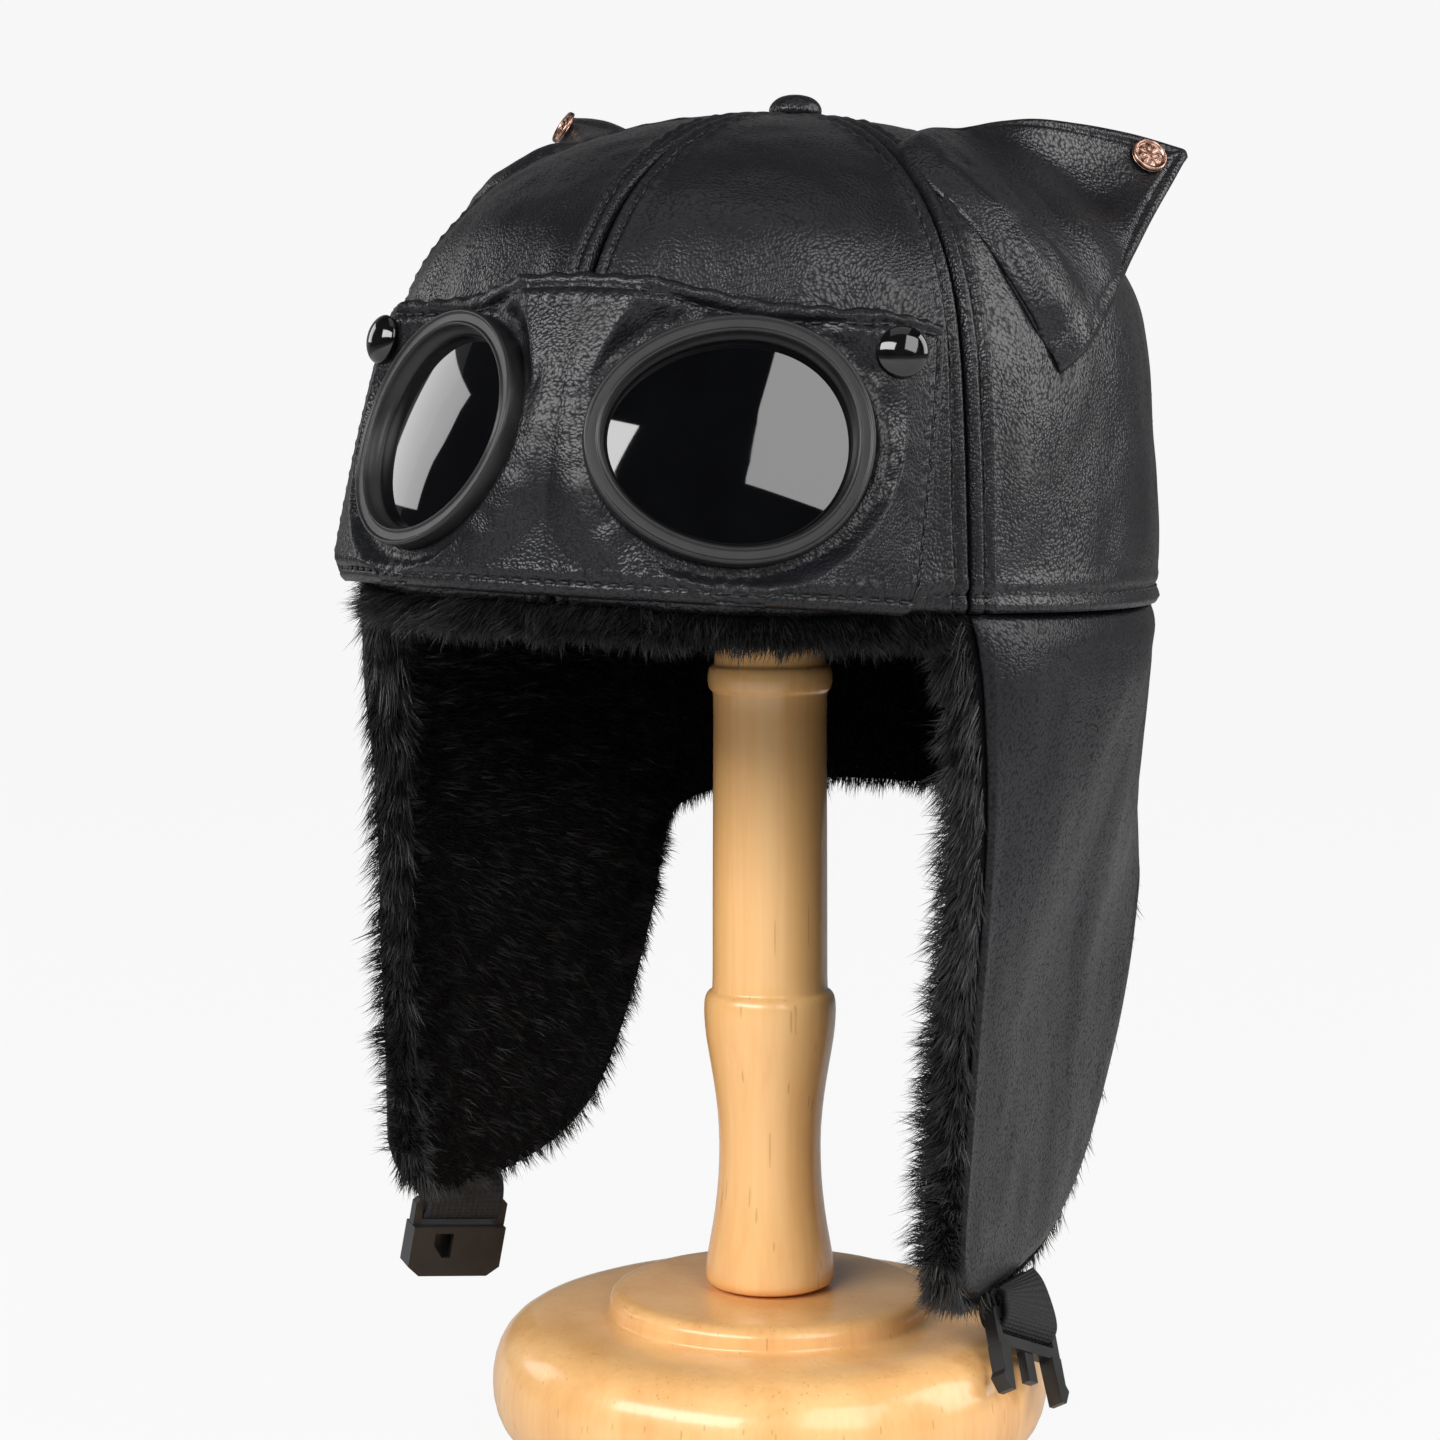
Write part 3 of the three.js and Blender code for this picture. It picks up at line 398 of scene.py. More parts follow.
def seam_relief(away, along):
    """Height of leather beside a seam: it turns in, swells, and is pulled down by the stitches."""
    turned_in = -1.7 * np.exp(-np.maximum(0, away) / 0.6)
    swell = (0.6 + 0.15 * puckers(along)) * bell(away, 1.9, 1.0)
    pull = -(0.75 + 0.5 * puckers(along)) * bell(away, seam_row, 0.55)
    beyond = (0.2 + 0.4 * puckers(along)) * bell(away, seam_row + 1.6, 0.9)
    return turned_in + swell + pull + beyond


def crown_folds(points):
    """Slack in the leather: broad dents, and upright wrinkles that rise from the rim."""
    broad = 1.9 * rumple(points, (34, 34, 42), 3.1) + 0.45 * rumple(points, (15, 15, 20), 6.2)
    upright = 0.6 * rumple(points, (10, 10, 46), 8.4) * (1 - ramp(18, 80, points[:, 2]))
    small = 0.3 * rumple(points, (7, 7, 12), 1.7)
    low = ramp(4, 12, points[:, 2])
    top = 1 - 0.7 * ramp(90, 108, points[:, 2])
    return (broad * top + upright + small) * low


def gore_detail(k):
    """Surface of a gore with its seams, folds and hem."""
    plain = gore_surface(k)

    def surface(u, v):
        width = gore_width(k, v)
        near = gore_reach(u, width)
        away = np.minimum(near, width - near)
        point = plain(u, v)
        height = point[..., 2]
        flat = ramp(0.4, 5, away) * (1 - ramp(0.6, 1.0, v) * 0.5)
        top = 1 - ramp(0.93, 1.0, v)
        relief = seam_relief(away, height + 40 * v) * (0.35 + 0.65 * top) + crown_folds(point) * flat
        angle = np.arctan2(point[..., 0], -point[..., 1])
        pull = (0.7 + 0.4 * puckers(angle * rim_mean_radius)) * bell(height, hem_row, 0.7)
        hem = 0.9 * (1 - ramp(1.5, 5, height)) - pull
        under_band = 1 - ramp(46, 58, np.degrees(np.abs(angle)))
        hem = hem + 0.45 * bell(height, 6.2, 1.6) - 0.8 * (1 - ramp(0, 0.9, height))
        hem = hem - 2.4 * (1 - ramp(0, 6.5, height)) * under_band
        return raised(plain, u, v, relief + hem, crown_inside)
    return surface


def sides(flip):
    """Factors that mirror a point to the other side of the helmet."""
    return np.array([-1, 1, 1]) if flip else np.array([1, 1, 1])


def thickened(piece, thickness, toward):
    """Gives a sheet its thickness in mm: inward from its face at -1, to both sides of it at 0."""
    wall = piece.modifiers.new("thickness", "SOLIDIFY")
    wall.thickness = thickness / 1000
    wall.offset = toward


def sewn_panel(name, surface, across, up, thickness, finish, replaced, flip, inside):
    """Panel: a grid moved on to surface(u, v), with its thickness inward. flip mirrors it."""
    shape = bmesh.new()
    bmesh.ops.create_grid(shape, x_segments=across, y_segments=up, size=0.5)
    share = np.array([vert.co.xy for vert in shape.verts]) + 0.5
    points = surface(share[:, 0], share[:, 1]) * sides(flip)
    heart = inside(points)
    placed = on_stand(points)
    hearts = on_stand(heart)
    for vert, point in zip(shape.verts, placed):
        vert.co = point
    shape.normal_update()
    shape.verts.ensure_lookup_table()
    some = range(0, len(placed), 37)
    facing_out = sum(shape.verts[i].normal.dot(Vector(placed[i] - hearts[i])) for i in some)
    if facing_out < 0:
        bmesh.ops.reverse_faces(shape, faces=shape.faces[:])
    piece = finished_piece(name, shape, finish, replaced)
    thickened(piece, thickness, -1)


def pebbled_grain():
    """Group for the leather's grain: small domed cells in drifting rows, here high and there flat."""
    group, given, result = new_group(
        "pebbled_grain",
        [("Vector", "Vector", None), ("Cells", "Float", 1200.0)],
        [("Height", "Float"), ("Creases", "Float"), ("Patches", "Float")],
    )
    drift = node(group, "TexNoise", {"Scale": 34.0, "Detail": 2.0},
                 {"Vector": given["Vector"]}).outputs["Color"]
    push = node(group, "VectorMath", {1: (0.011, 0.011, 0.011)}, {0: drift},
                operation="MULTIPLY").outputs["Vector"]
    moved = node(group, "VectorMath", links={0: given["Vector"], 1: push}, operation="ADD").outputs["Vector"]
    shake = node(group, "TexNoise", {"Scale": 420.0, "Detail": 2.0},
                 {"Vector": given["Vector"]}).outputs["Color"]
    small_push = node(group, "VectorMath", {1: (0.0011, 0.0011, 0.0011)}, {0: shake},
                      operation="MULTIPLY").outputs["Vector"]
    moved = node(group, "VectorMath", links={0: moved, 1: small_push}, operation="ADD").outputs["Vector"]
    cells = node(group, "TexVoronoi", {"Randomness": 0.9},
                 {"Vector": moved, "Scale": given["Cells"]}).outputs["Distance"]
    hollow = maths(group, "MULTIPLY", maths(group, "MULTIPLY", cells, cells), 1.7)
    wrinkle_at = node(group, "Mapping", {"Scale": (1.0, 1.0, 0.42)}, {"Vector": moved}).outputs["Vector"]
    wrinkles = node(group, "TexNoise", {"Scale": 520.0, "Detail": 3.0, "Roughness": 0.55},
                    {"Vector": wrinkle_at}).outputs["Fac"]
    patches = node(group, "TexNoise", {"Scale": 60.0, "Detail": 3.0, "Roughness": 0.55},
                   {"Vector": given["Vector"]}).outputs["Fac"]
    depth = maths(group, "ADD", maths(group, "MULTIPLY", patches, 1.5), -0.1)
    height = maths(group, "SUBTRACT", maths(group, "MULTIPLY", wrinkles, 0.45), hollow)
    group.links.new(maths(group, "MULTIPLY", height, depth), result["Height"])
    creases = maths(group, "MULTIPLY", maths(group, "SUBTRACT", cells, 0.42), 2.4, clamp=True)
    group.links.new(creases, result["Creases"])
    group.links.new(patches, result["Patches"])
    return group


grain_group = pebbled_grain()


def leather_finish(name, cells, depth, rough, sheen):
    """Black leather with a fineness and depth of grain, a roughness and a strength of its shine."""
    material, tree, shader, at = new_material(name)
    grain = tree.nodes.new("ShaderNodeGroup")
    grain.node_tree = grain_group
    grain.inputs["Cells"].default_value = cells
    tree.links.new(at, grain.inputs["Vector"])
    tone = colour_steps(tree, grain.outputs["Patches"], [
        (0.3, (0.0050, 0.0052, 0.0068)),
        (0.7, (0.0086, 0.0088, 0.0112)),
    ])
    tree.links.new(tone, shader.inputs["Base Color"])
    creased = maths(tree, "MULTIPLY", grain.outputs["Creases"], 0.15)
    worn = maths(tree, "MULTIPLY", grain.outputs["Patches"], -0.16)
    tree.links.new(maths(tree, "ADD", maths(tree, "ADD", creased, worn), rough), shader.inputs["Roughness"])
    dull = maths(tree, "MULTIPLY", grain.outputs["Creases"], 0.6)
    shine = maths(tree, "MULTIPLY", maths(tree, "SUBTRACT", 1.0, dull), sheen)
    tree.links.new(shine, shader.inputs["Specular IOR Level"])
    bump = node(tree, "Bump", {"Strength": 1.0, "Distance": depth}, {"Height": grain.outputs["Height"]})
    tree.links.new(bump.outputs["Normal"], shader.inputs["Normal"])
    return material


soft_leather = leather_finish("soft_black_leather", 1250.0, 0.00013, 0.37, 0.5)

gore_grids = (("front", 76, 140), ("side", 76, 140), ("back", 60, 110))
for k, (gore_name, columns, rows) in enumerate(gore_grids):
    for side in ("left", "right"):
        gore_node = "crown_" + gore_name + "_" + side
        sewn_panel(gore_node + "_leather", gore_detail(k), columns, rows, leather, soft_leather, (gore_node,),
                   side == "right", crown_inside)


# Stitches
# Black polyester thread, sewn through the leather on both sides of each seam, along the hem and round the
# band. Each stitch is a short bead that dips into the leather at both ends.
stitch_length = 2.8
stitch_thickness = 0.8


def stitch_finish():
    material, tree, shader, at = new_material("black_thread")
    twist = node(tree, "TexNoise", {"Scale": 2600.0, "Detail": 2.0}, {"Vector": at}).outputs["Fac"]
    tree.links.new(colour_steps(tree, twist, [(0.3, (0.004, 0.004, 0.0045)), (0.7, (0.013, 0.013, 0.014))]),
                   shader.inputs["Base Color"])
    bump = node(tree, "Bump", {"Strength": 0.5, "Distance": 0.0001}, {"Height": twist})
    tree.links.new(bump.outputs["Normal"], shader.inputs["Normal"])
    shader.inputs["Roughness"].default_value = 0.45
    return material


thread = stitch_finish()


def stitch_places(line, outs):
    """Middle, direction and outward direction of each stitch along a line of points."""
    steps = np.linalg.norm(np.diff(line, axis=0), axis=1)
    along = np.concatenate([[0], np.cumsum(steps)])
    count = max(1, int(along[-1] / stitch_pitch))
    middles = (np.arange(count) + 0.5) * along[-1] / count
    at = np.stack([np.interp(middles, along, line[:, i]) for i in range(3)], -1)
    after = np.stack([np.interp(middles + 0.8, along, line[:, i]) for i in range(3)], -1)
    before = np.stack([np.interp(middles - 0.8, along, line[:, i]) for i in range(3)], -1)
    out = np.stack([np.interp(middles, along, outs[:, i]) for i in range(3)], -1)
    return at, unit(after - before), unit(out)


def stitched(name, rows, lift=0.32):
    """One piece of thread for rows of stitches, each row a line of points with its outward directions."""
    bead = bmesh.new()
    bmesh.ops.create_uvsphere(bead, u_segments=6, v_segments=5, radius=0.5)
    beads = np.array([vert.co[:] for vert in bead.verts])
    faces = [[vert.index for vert in face.verts] for face in bead.faces]
    bead.free()
    beads = beads[:, [2, 0, 1]] * np.array([stitch_length, stitch_thickness, stitch_thickness])
    points = []
    polygons = []
    for line, outs in rows:
        at, ahead, out = stitch_places(line, outs)
        sideways = unit(np.cross(out, ahead))
        out = np.cross(ahead, sideways)
        for i in range(len(at)):
            start = len(points) * len(beads)
            bend = -0.22 * (np.abs(beads[:, 0]) / (stitch_length / 2)) ** 2
            points.append(at[i] + beads[:, :1] * ahead[i] + beads[:, 1:2] * sideways[i]
                          + (beads[:, 2] + lift + bend)[:, None] * out[i])
            polygons += [[start + j for j in face] for face in faces]
    return joined_piece(name, on_stand(np.concatenate(points)), polygons, thread)


def row_on(surface, u, v, inside, flip):
    """Line of points and outward directions along a surface, for a row of stitches."""
    line = surface(u, v)
    outs = facing(surface, u, v, inside)
    return line * sides(flip), outs * sides(flip)


crown_rows = []
for k in range(3):
    gore = gore_detail(k)
    for flip in (False, True):
        for edge in (0, 1):
            up_row = np.linspace(0.05, 0.9, 240)
            gore_mm = gore_width(k, up_row)
            reach = np.minimum(seam_reach, 0.3 * gore_mm)
            place_across = np.minimum(seam_columns, seam_columns * seam_row / reach)
            crown_rows.append(row_on(gore, np.abs(edge - place_across), up_row, crown_inside, flip))
        hem_u = np.linspace(0.02, 0.98, 160)
        hem_v = np.full(160, rise_at(hem_row) / gore_top)
        crown_rows.append(row_on(gore, hem_u, hem_v, crown_inside, flip))
stitched("crown_stitches", crown_rows)

# Button
# A small domed button covered in the same leather, gathered under its edge and pressed on over the point
# where the six gores meet.
button_radius = 0.0058
button_foot = crown_height + 0.1


def button_shape():
    outline = [(0, 0), (0.0052, 0), (0.0060, 0.0007), (0.0063, 0.0018), (0.0059, 0.0031), (0.0049, 0.0043),
               (0.0035, 0.0051), (0.0017, 0.0055), (0, 0.0056)]
    shape = turned_shape(outline, 48)
    for vert in shape.verts:
        x, y, z = vert.co
        angle = np.arctan2(y, x)
        gather = 0.00022 * np.sin(7 * angle + 0.6) * np.hypot(x, y) / button_radius * (1 - z / 0.007)
        vert.co.x = x * (1 + gather / button_radius)
        vert.co.y = y * (1 + gather / button_radius)
        spot = on_stand(np.array([[vert.co.x * 1000, vert.co.y * 1000, button_foot + z * 1000]]))[0]
        vert.co = spot
    return shape


rounded(finished_piece("crown_button_leather", button_shape(), soft_leather, ("crown_button",)), 2)

# Skirt
# The ear flaps and the neck flap are one piece of the same leather on each side, sewn up the middle of the
# back and into the rim under the crown's hem. They hang slack, with their edges turned in.
flap_length = 160
neck_length = 54
skirt_thickness = 1.3
skirt_gap = 0.3
skirt_edge = [
    (57.5, 73, 0.93), (62, 75.5, 0.972), (67.5, 80, 0.994), (73.5, 87, 1.0), (80, 95, 0.998),
    (87, 103, 0.988), (94, 110, 0.965), (101, 117, 0.915), (108, 123, 0.83), (114, 128, 0.725),
    (120, 132, 0.61), (127, 136, 0.5), (137, 143, 0.4), (150, 155, 0.35), (164, 167, 0.34),
    (179.9, 179.9, neck_length / flap_length),
]
flap_hang = {
    "left": {"longer": 1.0, "wider": -1, "forward": 2, "half": 78.5, "turn": 0.025, "lean": 0.04,
             "settle": 100, "puff": 2.4},
    "right": {"longer": 0.95, "wider": 3.5, "forward": 1, "half": 75, "turn": 0.02, "lean": -0.04,
              "settle": 78, "puff": 0.4},
}
flap_level = 96
flap_front = -31
back_puff = 2.2


def skirt_surface(side):
    """Plain surface of a skirt piece, by share from its front edge to its back one and share down."""
    hang = flap_hang[side]

    def surface(u, v):
        rim, low, drop = np.moveaxis(on_curve(skirt_edge, u), -1, 0)
        flap = 1 - ramp(0.62, 0.8, u)
        swing = hang["wider"] * ramp(0.25, 0.5, u) * (1 - ramp(0.7, 0.85, u))
        low = low + swing - hang["forward"] * (1 - ramp(0.1, 0.5, u))
        around = rim * (1 - v) + low * v
        longer = 1 + (hang["longer"] - 1) * flap
        z = -skirt_gap - drop * longer * flap_length * v
        angle = np.radians(around)
        y = -rim_half_length * np.cos(angle)
        rim_x = rim_half_width * np.sin(angle)
        plane_x = hang["half"] - hang["turn"] * (y - flap_front) - hang["lean"] * (-z - flap_level)
        flat = ramp(0, hang["settle"], -z) * (1 - ramp(136, 158, around))
        backward = ramp(100, 179, around)
        swell = hang["puff"] * (1 - backward) + back_puff * backward
        puff = swell / rim_half_width * ramp(0, 16, -z) * (1 - 0.6 * flat)
        return np.stack([(rim_x * (1 - flat) + plane_x * flat) * (1 + puff), y * (1 + puff * 0.6), z], -1)
    return surface


def skirt_inside(at):
    return np.stack([0 * at[..., 0], at[..., 1] * 0.35, at[..., 2]], -1)


def skirt_detail(side):
    """Surface of a skirt piece with its folds, turned edges and seam."""
    plain = skirt_surface(side)
    seed = 5.2 if side == "left" else 9.7

    def surface(u, v):
        point = plain(u, v)
        drop = -point[..., 2]
        broad = 2.0 * rumple(point, (28, 28, 50), seed)
        long_folds = 0.45 * rumple(point, (13, 13, 60), seed + 2)
        small = 0.25 * rumple(point, (8, 8, 16), seed + 4)
        # A slack fold runs down near the flap's rear edge
        wander = u - 0.014 * np.sin(drop / 16)
        reach = ramp(15, 45, drop) * (1 - ramp(80, 125, drop))
        crease = -1.5 * bell(wander, 0.36, 0.05) * reach
        ridge = 1.2 * bell(wander, 0.45, 0.055) * reach
        edge_mm = np.minimum(u * 150, (1 - v) * 120)
        turned_edge = -1.1 * (1 - ramp(0, 2.6, edge_mm))
        back_seam_relief = -1.6 * np.exp(-(1 - u) * 150 / 0.9) + 0.4 * bell((1 - u) * 150, 3, 1.5)
        under_hem = -0.6 * (1 - ramp(0, 3, drop)) + 0.8 * bell(drop, 6, 4)
        slack = ramp(2, 14, drop)
        quiet = 0.35 + 0.65 * ramp(0, 12, edge_mm)
        # The folds go no deeper than the pile's backing allows
        relief = np.maximum(-1.0, (broad + long_folds + small + crease + ridge) * slack * quiet)
        return raised(plain, u, v, relief + turned_edge + back_seam_relief + under_hem, skirt_inside)
    return surface


flap_leather = leather_finish("flap_leather", 1250.0, 0.00012, 0.41, 0.32)
for side in ("left", "right"):
    sewn_panel("skirt_" + side + "_leather", skirt_detail(side), 150, 84, skirt_thickness, flap_leather,
               ("skirt_leather_" + side,), side == "right", skirt_inside)

# Pile
# Deep black fur-like pile lines the flaps and the neck. A dense dark ground carries fine hairs that lean down
# and outward and gather in small tufts.
fur_depth = 13.5
ground_depth = 8.0
hair_width = 0.28


def pile_finish(name, dark, light):
    """Hair that is darker and lighter from tuft to tuft."""
    material, tree, shader, at = new_material(name)
    tufts = node(tree, "TexNoise", {"Scale": 170.0, "Detail": 2.0}, {"Vector": at}).outputs["Fac"]
    tree.links.new(colour_steps(tree, tufts, [(0.3, dark), (0.7, light)]),
                   shader.inputs["Base Color"])
    shader.inputs["Roughness"].default_value = 0.42
    shader.inputs["Specular IOR Level"].default_value = 0.5
    return material


def ground_finish():
    material, tree, shader, at = new_material("pile_ground")
    strands = node(tree, "TexNoise", {"Scale": 900.0, "Detail": 4.0}, {"Vector": at}).outputs["Fac"]
    dark = colour_steps(tree, strands, [(0.35, (0.0015, 0.0015, 0.002)), (0.7, (0.005, 0.005, 0.0055))])
    tree.links.new(dark, shader.inputs["Base Color"])
    bump = node(tree, "Bump", {"Strength": 1.0, "Distance": 0.0008}, {"Height": strands})
    tree.links.new(bump.outputs["Normal"], shader.inputs["Normal"])
    shader.inputs["Roughness"].default_value = 0.9
    shader.inputs["Specular IOR Level"].default_value = 0.1
    return material


black_pile = pile_finish("black_pile", (0.005, 0.005, 0.0055), (0.026, 0.026, 0.027))
# A paler copy of the same black pile, for the near side's edge hairs only: painted highlight where the front
# light falls on them
lit_side_pile = pile_finish("black_pile_painted_lit", (0.010, 0.010, 0.0105), (0.040, 0.040, 0.041))
dark_ground = ground_finish()


def tuft_drift(points, size, seed):
    """Direction that the hairs of a tuft share, changing from tuft to tuft."""
    return np.stack([rumple(points, (size, size, size), seed + 7 * i) for i in range(3)], -1)


def hairs(name, roots, ways, lean, lengths, chance, finish):
    """One piece of many hairs: each is a narrow strip that tapers and bends from its way to its lean."""
    count = len(roots)
    tangle = unit(chance.normal(size=(count, 3)))
    sideways = unit(np.cross(ways, tangle))
    drift = tuft_drift(roots, 5.5, 2.0) * 0.85 + tuft_drift(roots, 2.2, 31.0) * 0.5
    drift = drift + chance.normal(size=(count, 3)) * 0.2
    shares = (0.0, 0.55, 1.0)
    widths = (1.0, 0.75, 0.0)
    rows = []
    for share, width in zip(shares, widths):
        middle = roots + lengths[:, None] * (ways * share + (lean + drift) * share ** 1.8 * 0.62)
        half = sideways * (hair_width / 2 * width)
        if width:
            rows += [middle - half, middle + half]
        else:
            rows.append(middle)
    points = on_stand(np.stack(rows, 1).reshape(-1, 3))
    start = (np.arange(count) * 5)[:, None]
    quads = start + np.array([0, 1, 3, 2])
    tips = start + np.array([2, 3, 4])
    return joined_piece(name, points, quads.tolist() + tips.tolist(), finish)


def pile_surface(side):
    """The leather's inner face, drawn past its front and lower edges, where the pile's backing is sewn on."""
    plain = skirt_surface(side)
    fuller = 4.4 if side == "right" else 0.0

    def surface(u, v):
        at = raised(plain, u, v, np.full(np.shape(u), -leather - 0.5), skirt_inside)
        forward = unit(plain(0 * u, v) - plain(0 * u + 0.03, v))
        downward = unit(plain(u, 0 * v + 1) - plain(u, 0 * v + 0.97))
        # The lower front corner stays round
        reach = (2.2 + fuller * ramp(0.15, 0.65, v)) * (1 - ramp(0.8, 1, v))
        at = at + forward * ((1 - ramp(0, 0.05 + 0.02 * fuller, u)) * reach)[..., None]
        return at + downward * (ramp(0.85, 1, v) * ramp(0, 0.08, u) * 2.2)[..., None]
    return surface


for side in ("left", "right"):
    flip = side == "right"
    mirror = sides(flip)
    chance = np.random.default_rng(41 if flip else 17)
    backing = pile_surface(side)
    sewn_panel("skirt_pile_ground_" + side, backing, 90, 60, ground_depth, dark_ground,
               ("skirt_fur_" + side,), flip, skirt_inside)
    # Hairs of the face lean down; those of the front and lower edges stand out past the leather
    face_count = 23000
    u = chance.random(face_count) ** 1.12
    v = chance.random(face_count)
    roots = raised(backing, u, v, -(ground_depth - 1.2) + 0 * u, skirt_inside)
    ways = -facing(backing, u, v, skirt_inside)
    down = unit(backing(u, np.minimum(1, v + 0.02)) - backing(u, np.maximum(0, v - 0.02)))
    front = unit(backing(np.maximum(0, u - 0.02), v) - backing(np.minimum(1, u + 0.02), v))
    out = front * (1 - ramp(0, 0.2, u))[:, None] * 0.9
    lean = down * (0.5 - 0.2 * ramp(0.86, 1, v))[:, None] + out
    lengths = (fur_depth - ground_depth) * (0.7 + 0.45 * chance.random(face_count))
    lengths = lengths * (1 - 0.35 * ramp(0.88, 1, v))
    hairs("skirt_pile_" + side, roots * mirror, ways * mirror, lean * mirror, lengths, chance,
          black_pile)
    edge_count = 12000
    along = chance.random(edge_count)
    deep = chance.random(edge_count) * ground_depth
    on_front = along < 0.5
    u = np.where(on_front, 0.004, (along - 0.5) * 2)
    v = np.where(on_front, along * 2, 0.996)
    roots = raised(backing, u, v, -deep, skirt_inside)
    inward = -facing(backing, u, v, skirt_inside)
    down = unit(backing(u, v) - backing(u, v - 0.03))
    front = unit(backing(u * 0, v) - backing(u * 0 + 0.03, v))
    out = np.where(on_front[:, None], front, down)
    spread = (deep / ground_depth - 0.35)[:, None]
    ways = unit(out + np.where(on_front[:, None], down * 0.7, 0) + inward * spread * 0.9)
    lean = np.where(on_front[:, None], down, down * 0.2) + inward * spread * 0.3
    lengths = np.where(on_front, 4.4, 3.2) + 2.2 * chance.random(edge_count)
    # The near side's front and lower edge hairs take the paler copy as painted highlight; the far side's keep
    # the plain black pile
    hairs("skirt_pile_edge_" + side, (roots - out) * mirror, ways * mirror, lean * mirror, lengths, chance,
          black_pile if flip else lit_side_pile)

# Front trim
# A strip of the same pile is sewn inside the front of the rim. Its hairs lean forward and down, so that it
# fluffs out below the band.
trim_end = 56
trim_rise = 9
trim_drop = 5.5
trim_depth = 7.5


def trim_surface(u, v):
    """Inner face of the front of the crown, carried on below the rim."""
    z = -trim_drop + (trim_drop + trim_rise) * v
    at = crown_point(-trim_end + 2 * trim_end * u, rise_at(np.maximum(0, z)))
    at[..., 2] += np.minimum(0, z)
    return at


def trim_inside(at):
    return np.stack([0 * at[..., 0], at[..., 1] * 0.3, at[..., 2]], -1)


def trim_ground(u, v):
    return raised(trim_surface, u, v, -3.4 + 0 * u, trim_inside)


sewn_panel("front_trim_ground", trim_ground, 120, 10, 5.5, dark_ground, ("front_fur_trim",), False,
           trim_inside)
chance = np.random.default_rng(5)
trim_count = 18000
u = chance.random(trim_count)
v = chance.random(trim_count) ** 1.6 * 0.55
deep = chance.random(trim_count) ** 0.8 * trim_depth
roots = raised(trim_surface, u, v, -3.6 - deep * 0.8, trim_inside)
outward_way = facing(trim_surface, u, v, trim_inside)
share_out = 1 - deep / trim_depth
ways = unit(outward_way * (1.7 * share_out - 0.35)[:, None] + np.array([0, 0, -0.75]))
lean = outward_way * (0.9 * share_out - 0.3)[:, None] + np.array([0, 0, -0.1])
lengths = 3.3 + 2.2 * chance.random(trim_count)
hairs("front_trim_pile", roots, ways, lean, lengths, chance, black_pile)

# Goggle band
# A strip of the leather, doubled and topstitched round its edge, is snapped over the front of the crown. It
# has an opening for each goggle, and the goggles stretch it into small wrinkles.
band_thickness = 2
band_width = 178
band_height = 66
band_edge = [
    (0, 0, 69.5, 1.5, 2.6, 4, 1.5), (10, 9.5, 68.8, 1.5, 2.6, 4, 1.5), (20, 19, 67, 1.5, 2.6, 4.3, 1.2),
    (30, 28, 65.3, 1.3, 2.6, 5, 1), (39, 36.5, 64, 1, 2.7, 5.8, 0.6), (46, 43, 62.6, 0.6, 2.9, 6.4, 0.3),
    (51, 47.5, 61, 0, 3.2, 6.5, 0),
]
ring_stand = 4.5
ring_egg = 2.7
band_row = 3.1


def band_surface(u, v):
    """Plain surface of the band, by share across and up: it lies on the crown and flat behind the rings."""
    side = np.where(u < 0.5, -1.0, 1.0)
    along = np.abs(u - 0.5) * 2
    section = np.moveaxis(on_curve(band_edge, along), -1, 0)
    round_top, round_bottom, top, bottom, off_top, off_bottom, bulge = section
    z = bottom + (top - bottom) * v
    around = round_bottom + (round_top - round_bottom) * v
    off = off_bottom + (off_top - off_bottom) * v + bulge * np.sin(np.pi * v)
    point = crown_shape(side * around, rise_at(z), off)
    share, ahead = ring_place(point)
    limit = -ring_stand + 3.2 * ramp(1.04, 1.3, share) + 6 * ramp(1.3, 1.8, share)
    forward = (-ring_stand - ahead) * (1 - ramp(1.0, 1.42, share))
    move = np.where(ahead < -ring_stand, forward, -np.maximum(0, ahead - limit))
    return point + outward(side) * move[..., None]


def band_inside(at):
    return np.stack([at[..., 0] * 0.4, 0 * at[..., 1], at[..., 2]], -1)


def band_detail(u, v):
    """Surface of the band with its rolled edge, stitched channel, folds and the lip round each ring."""
    from_side = np.minimum(u, 1 - u) * band_width
    from_foot = v * band_height
    from_top = (1 - v) * band_height
    away = np.minimum(from_side, np.minimum(from_foot, from_top))
    along = np.where(from_side <= np.minimum(from_foot, from_top), v * band_height, u * band_width)
    rolled = -1.0 * np.exp(-away / 0.7)
    pull = -(0.6 + 0.4 * puckers(along)) * bell(away, band_row, 0.62)
    swell = 0.35 * bell(away, 1.3, 0.9) + 0.35 * puckers(along) * bell(away, band_row + 1.8, 1.2)
    point = band_surface(u, v)
    share, ahead = ring_place(point)
    offset = np.stack([np.abs(point[..., 0]), point[..., 1], point[..., 2]], -1) - ring_centre
    angle = np.arctan2(offset @ ring_up, offset @ ring_across)
    spokes = np.sin(17 * angle + 2.0 * np.sin(3 * angle)) * 0.14 + np.sin(31 * angle + 1.3) * 0.06
    round_ring = spokes * bell(share, 1.12, 0.13)
    lip = 0.6 * bell(share, 1.02, 0.05)
    slack = 0.8 * rumple(point, (14, 14, 36), 2.3) + 0.14 * rumple(point, (6, 6, 11), 6.6)
    side_folds = slack * ramp(1.2, 1.6, share) * ramp(2, 9, away)
    middle = bell(u, 0.5, 0.09)
    dent = -1.0 * bell(np.abs(u - 0.5), 0.085, 0.022) * ramp(0.35, 0.6, v) * (1 - ramp(0.75, 0.95, v))
    tucked = -2.4 * (1 - ramp(0, 6.5, point[..., 2]))
    relief = rolled + pull + swell + round_ring + lip + side_folds * (1 - 0.55 * middle) + dent + tucked
    scallop = 0.45 * (puckers(u * band_width * 0.5) - 0.5) * bell(from_top, 0, 2.2)
    placed = raised(band_surface, u, v, relief, band_inside)
    placed[..., 2] += scallop
    return placed


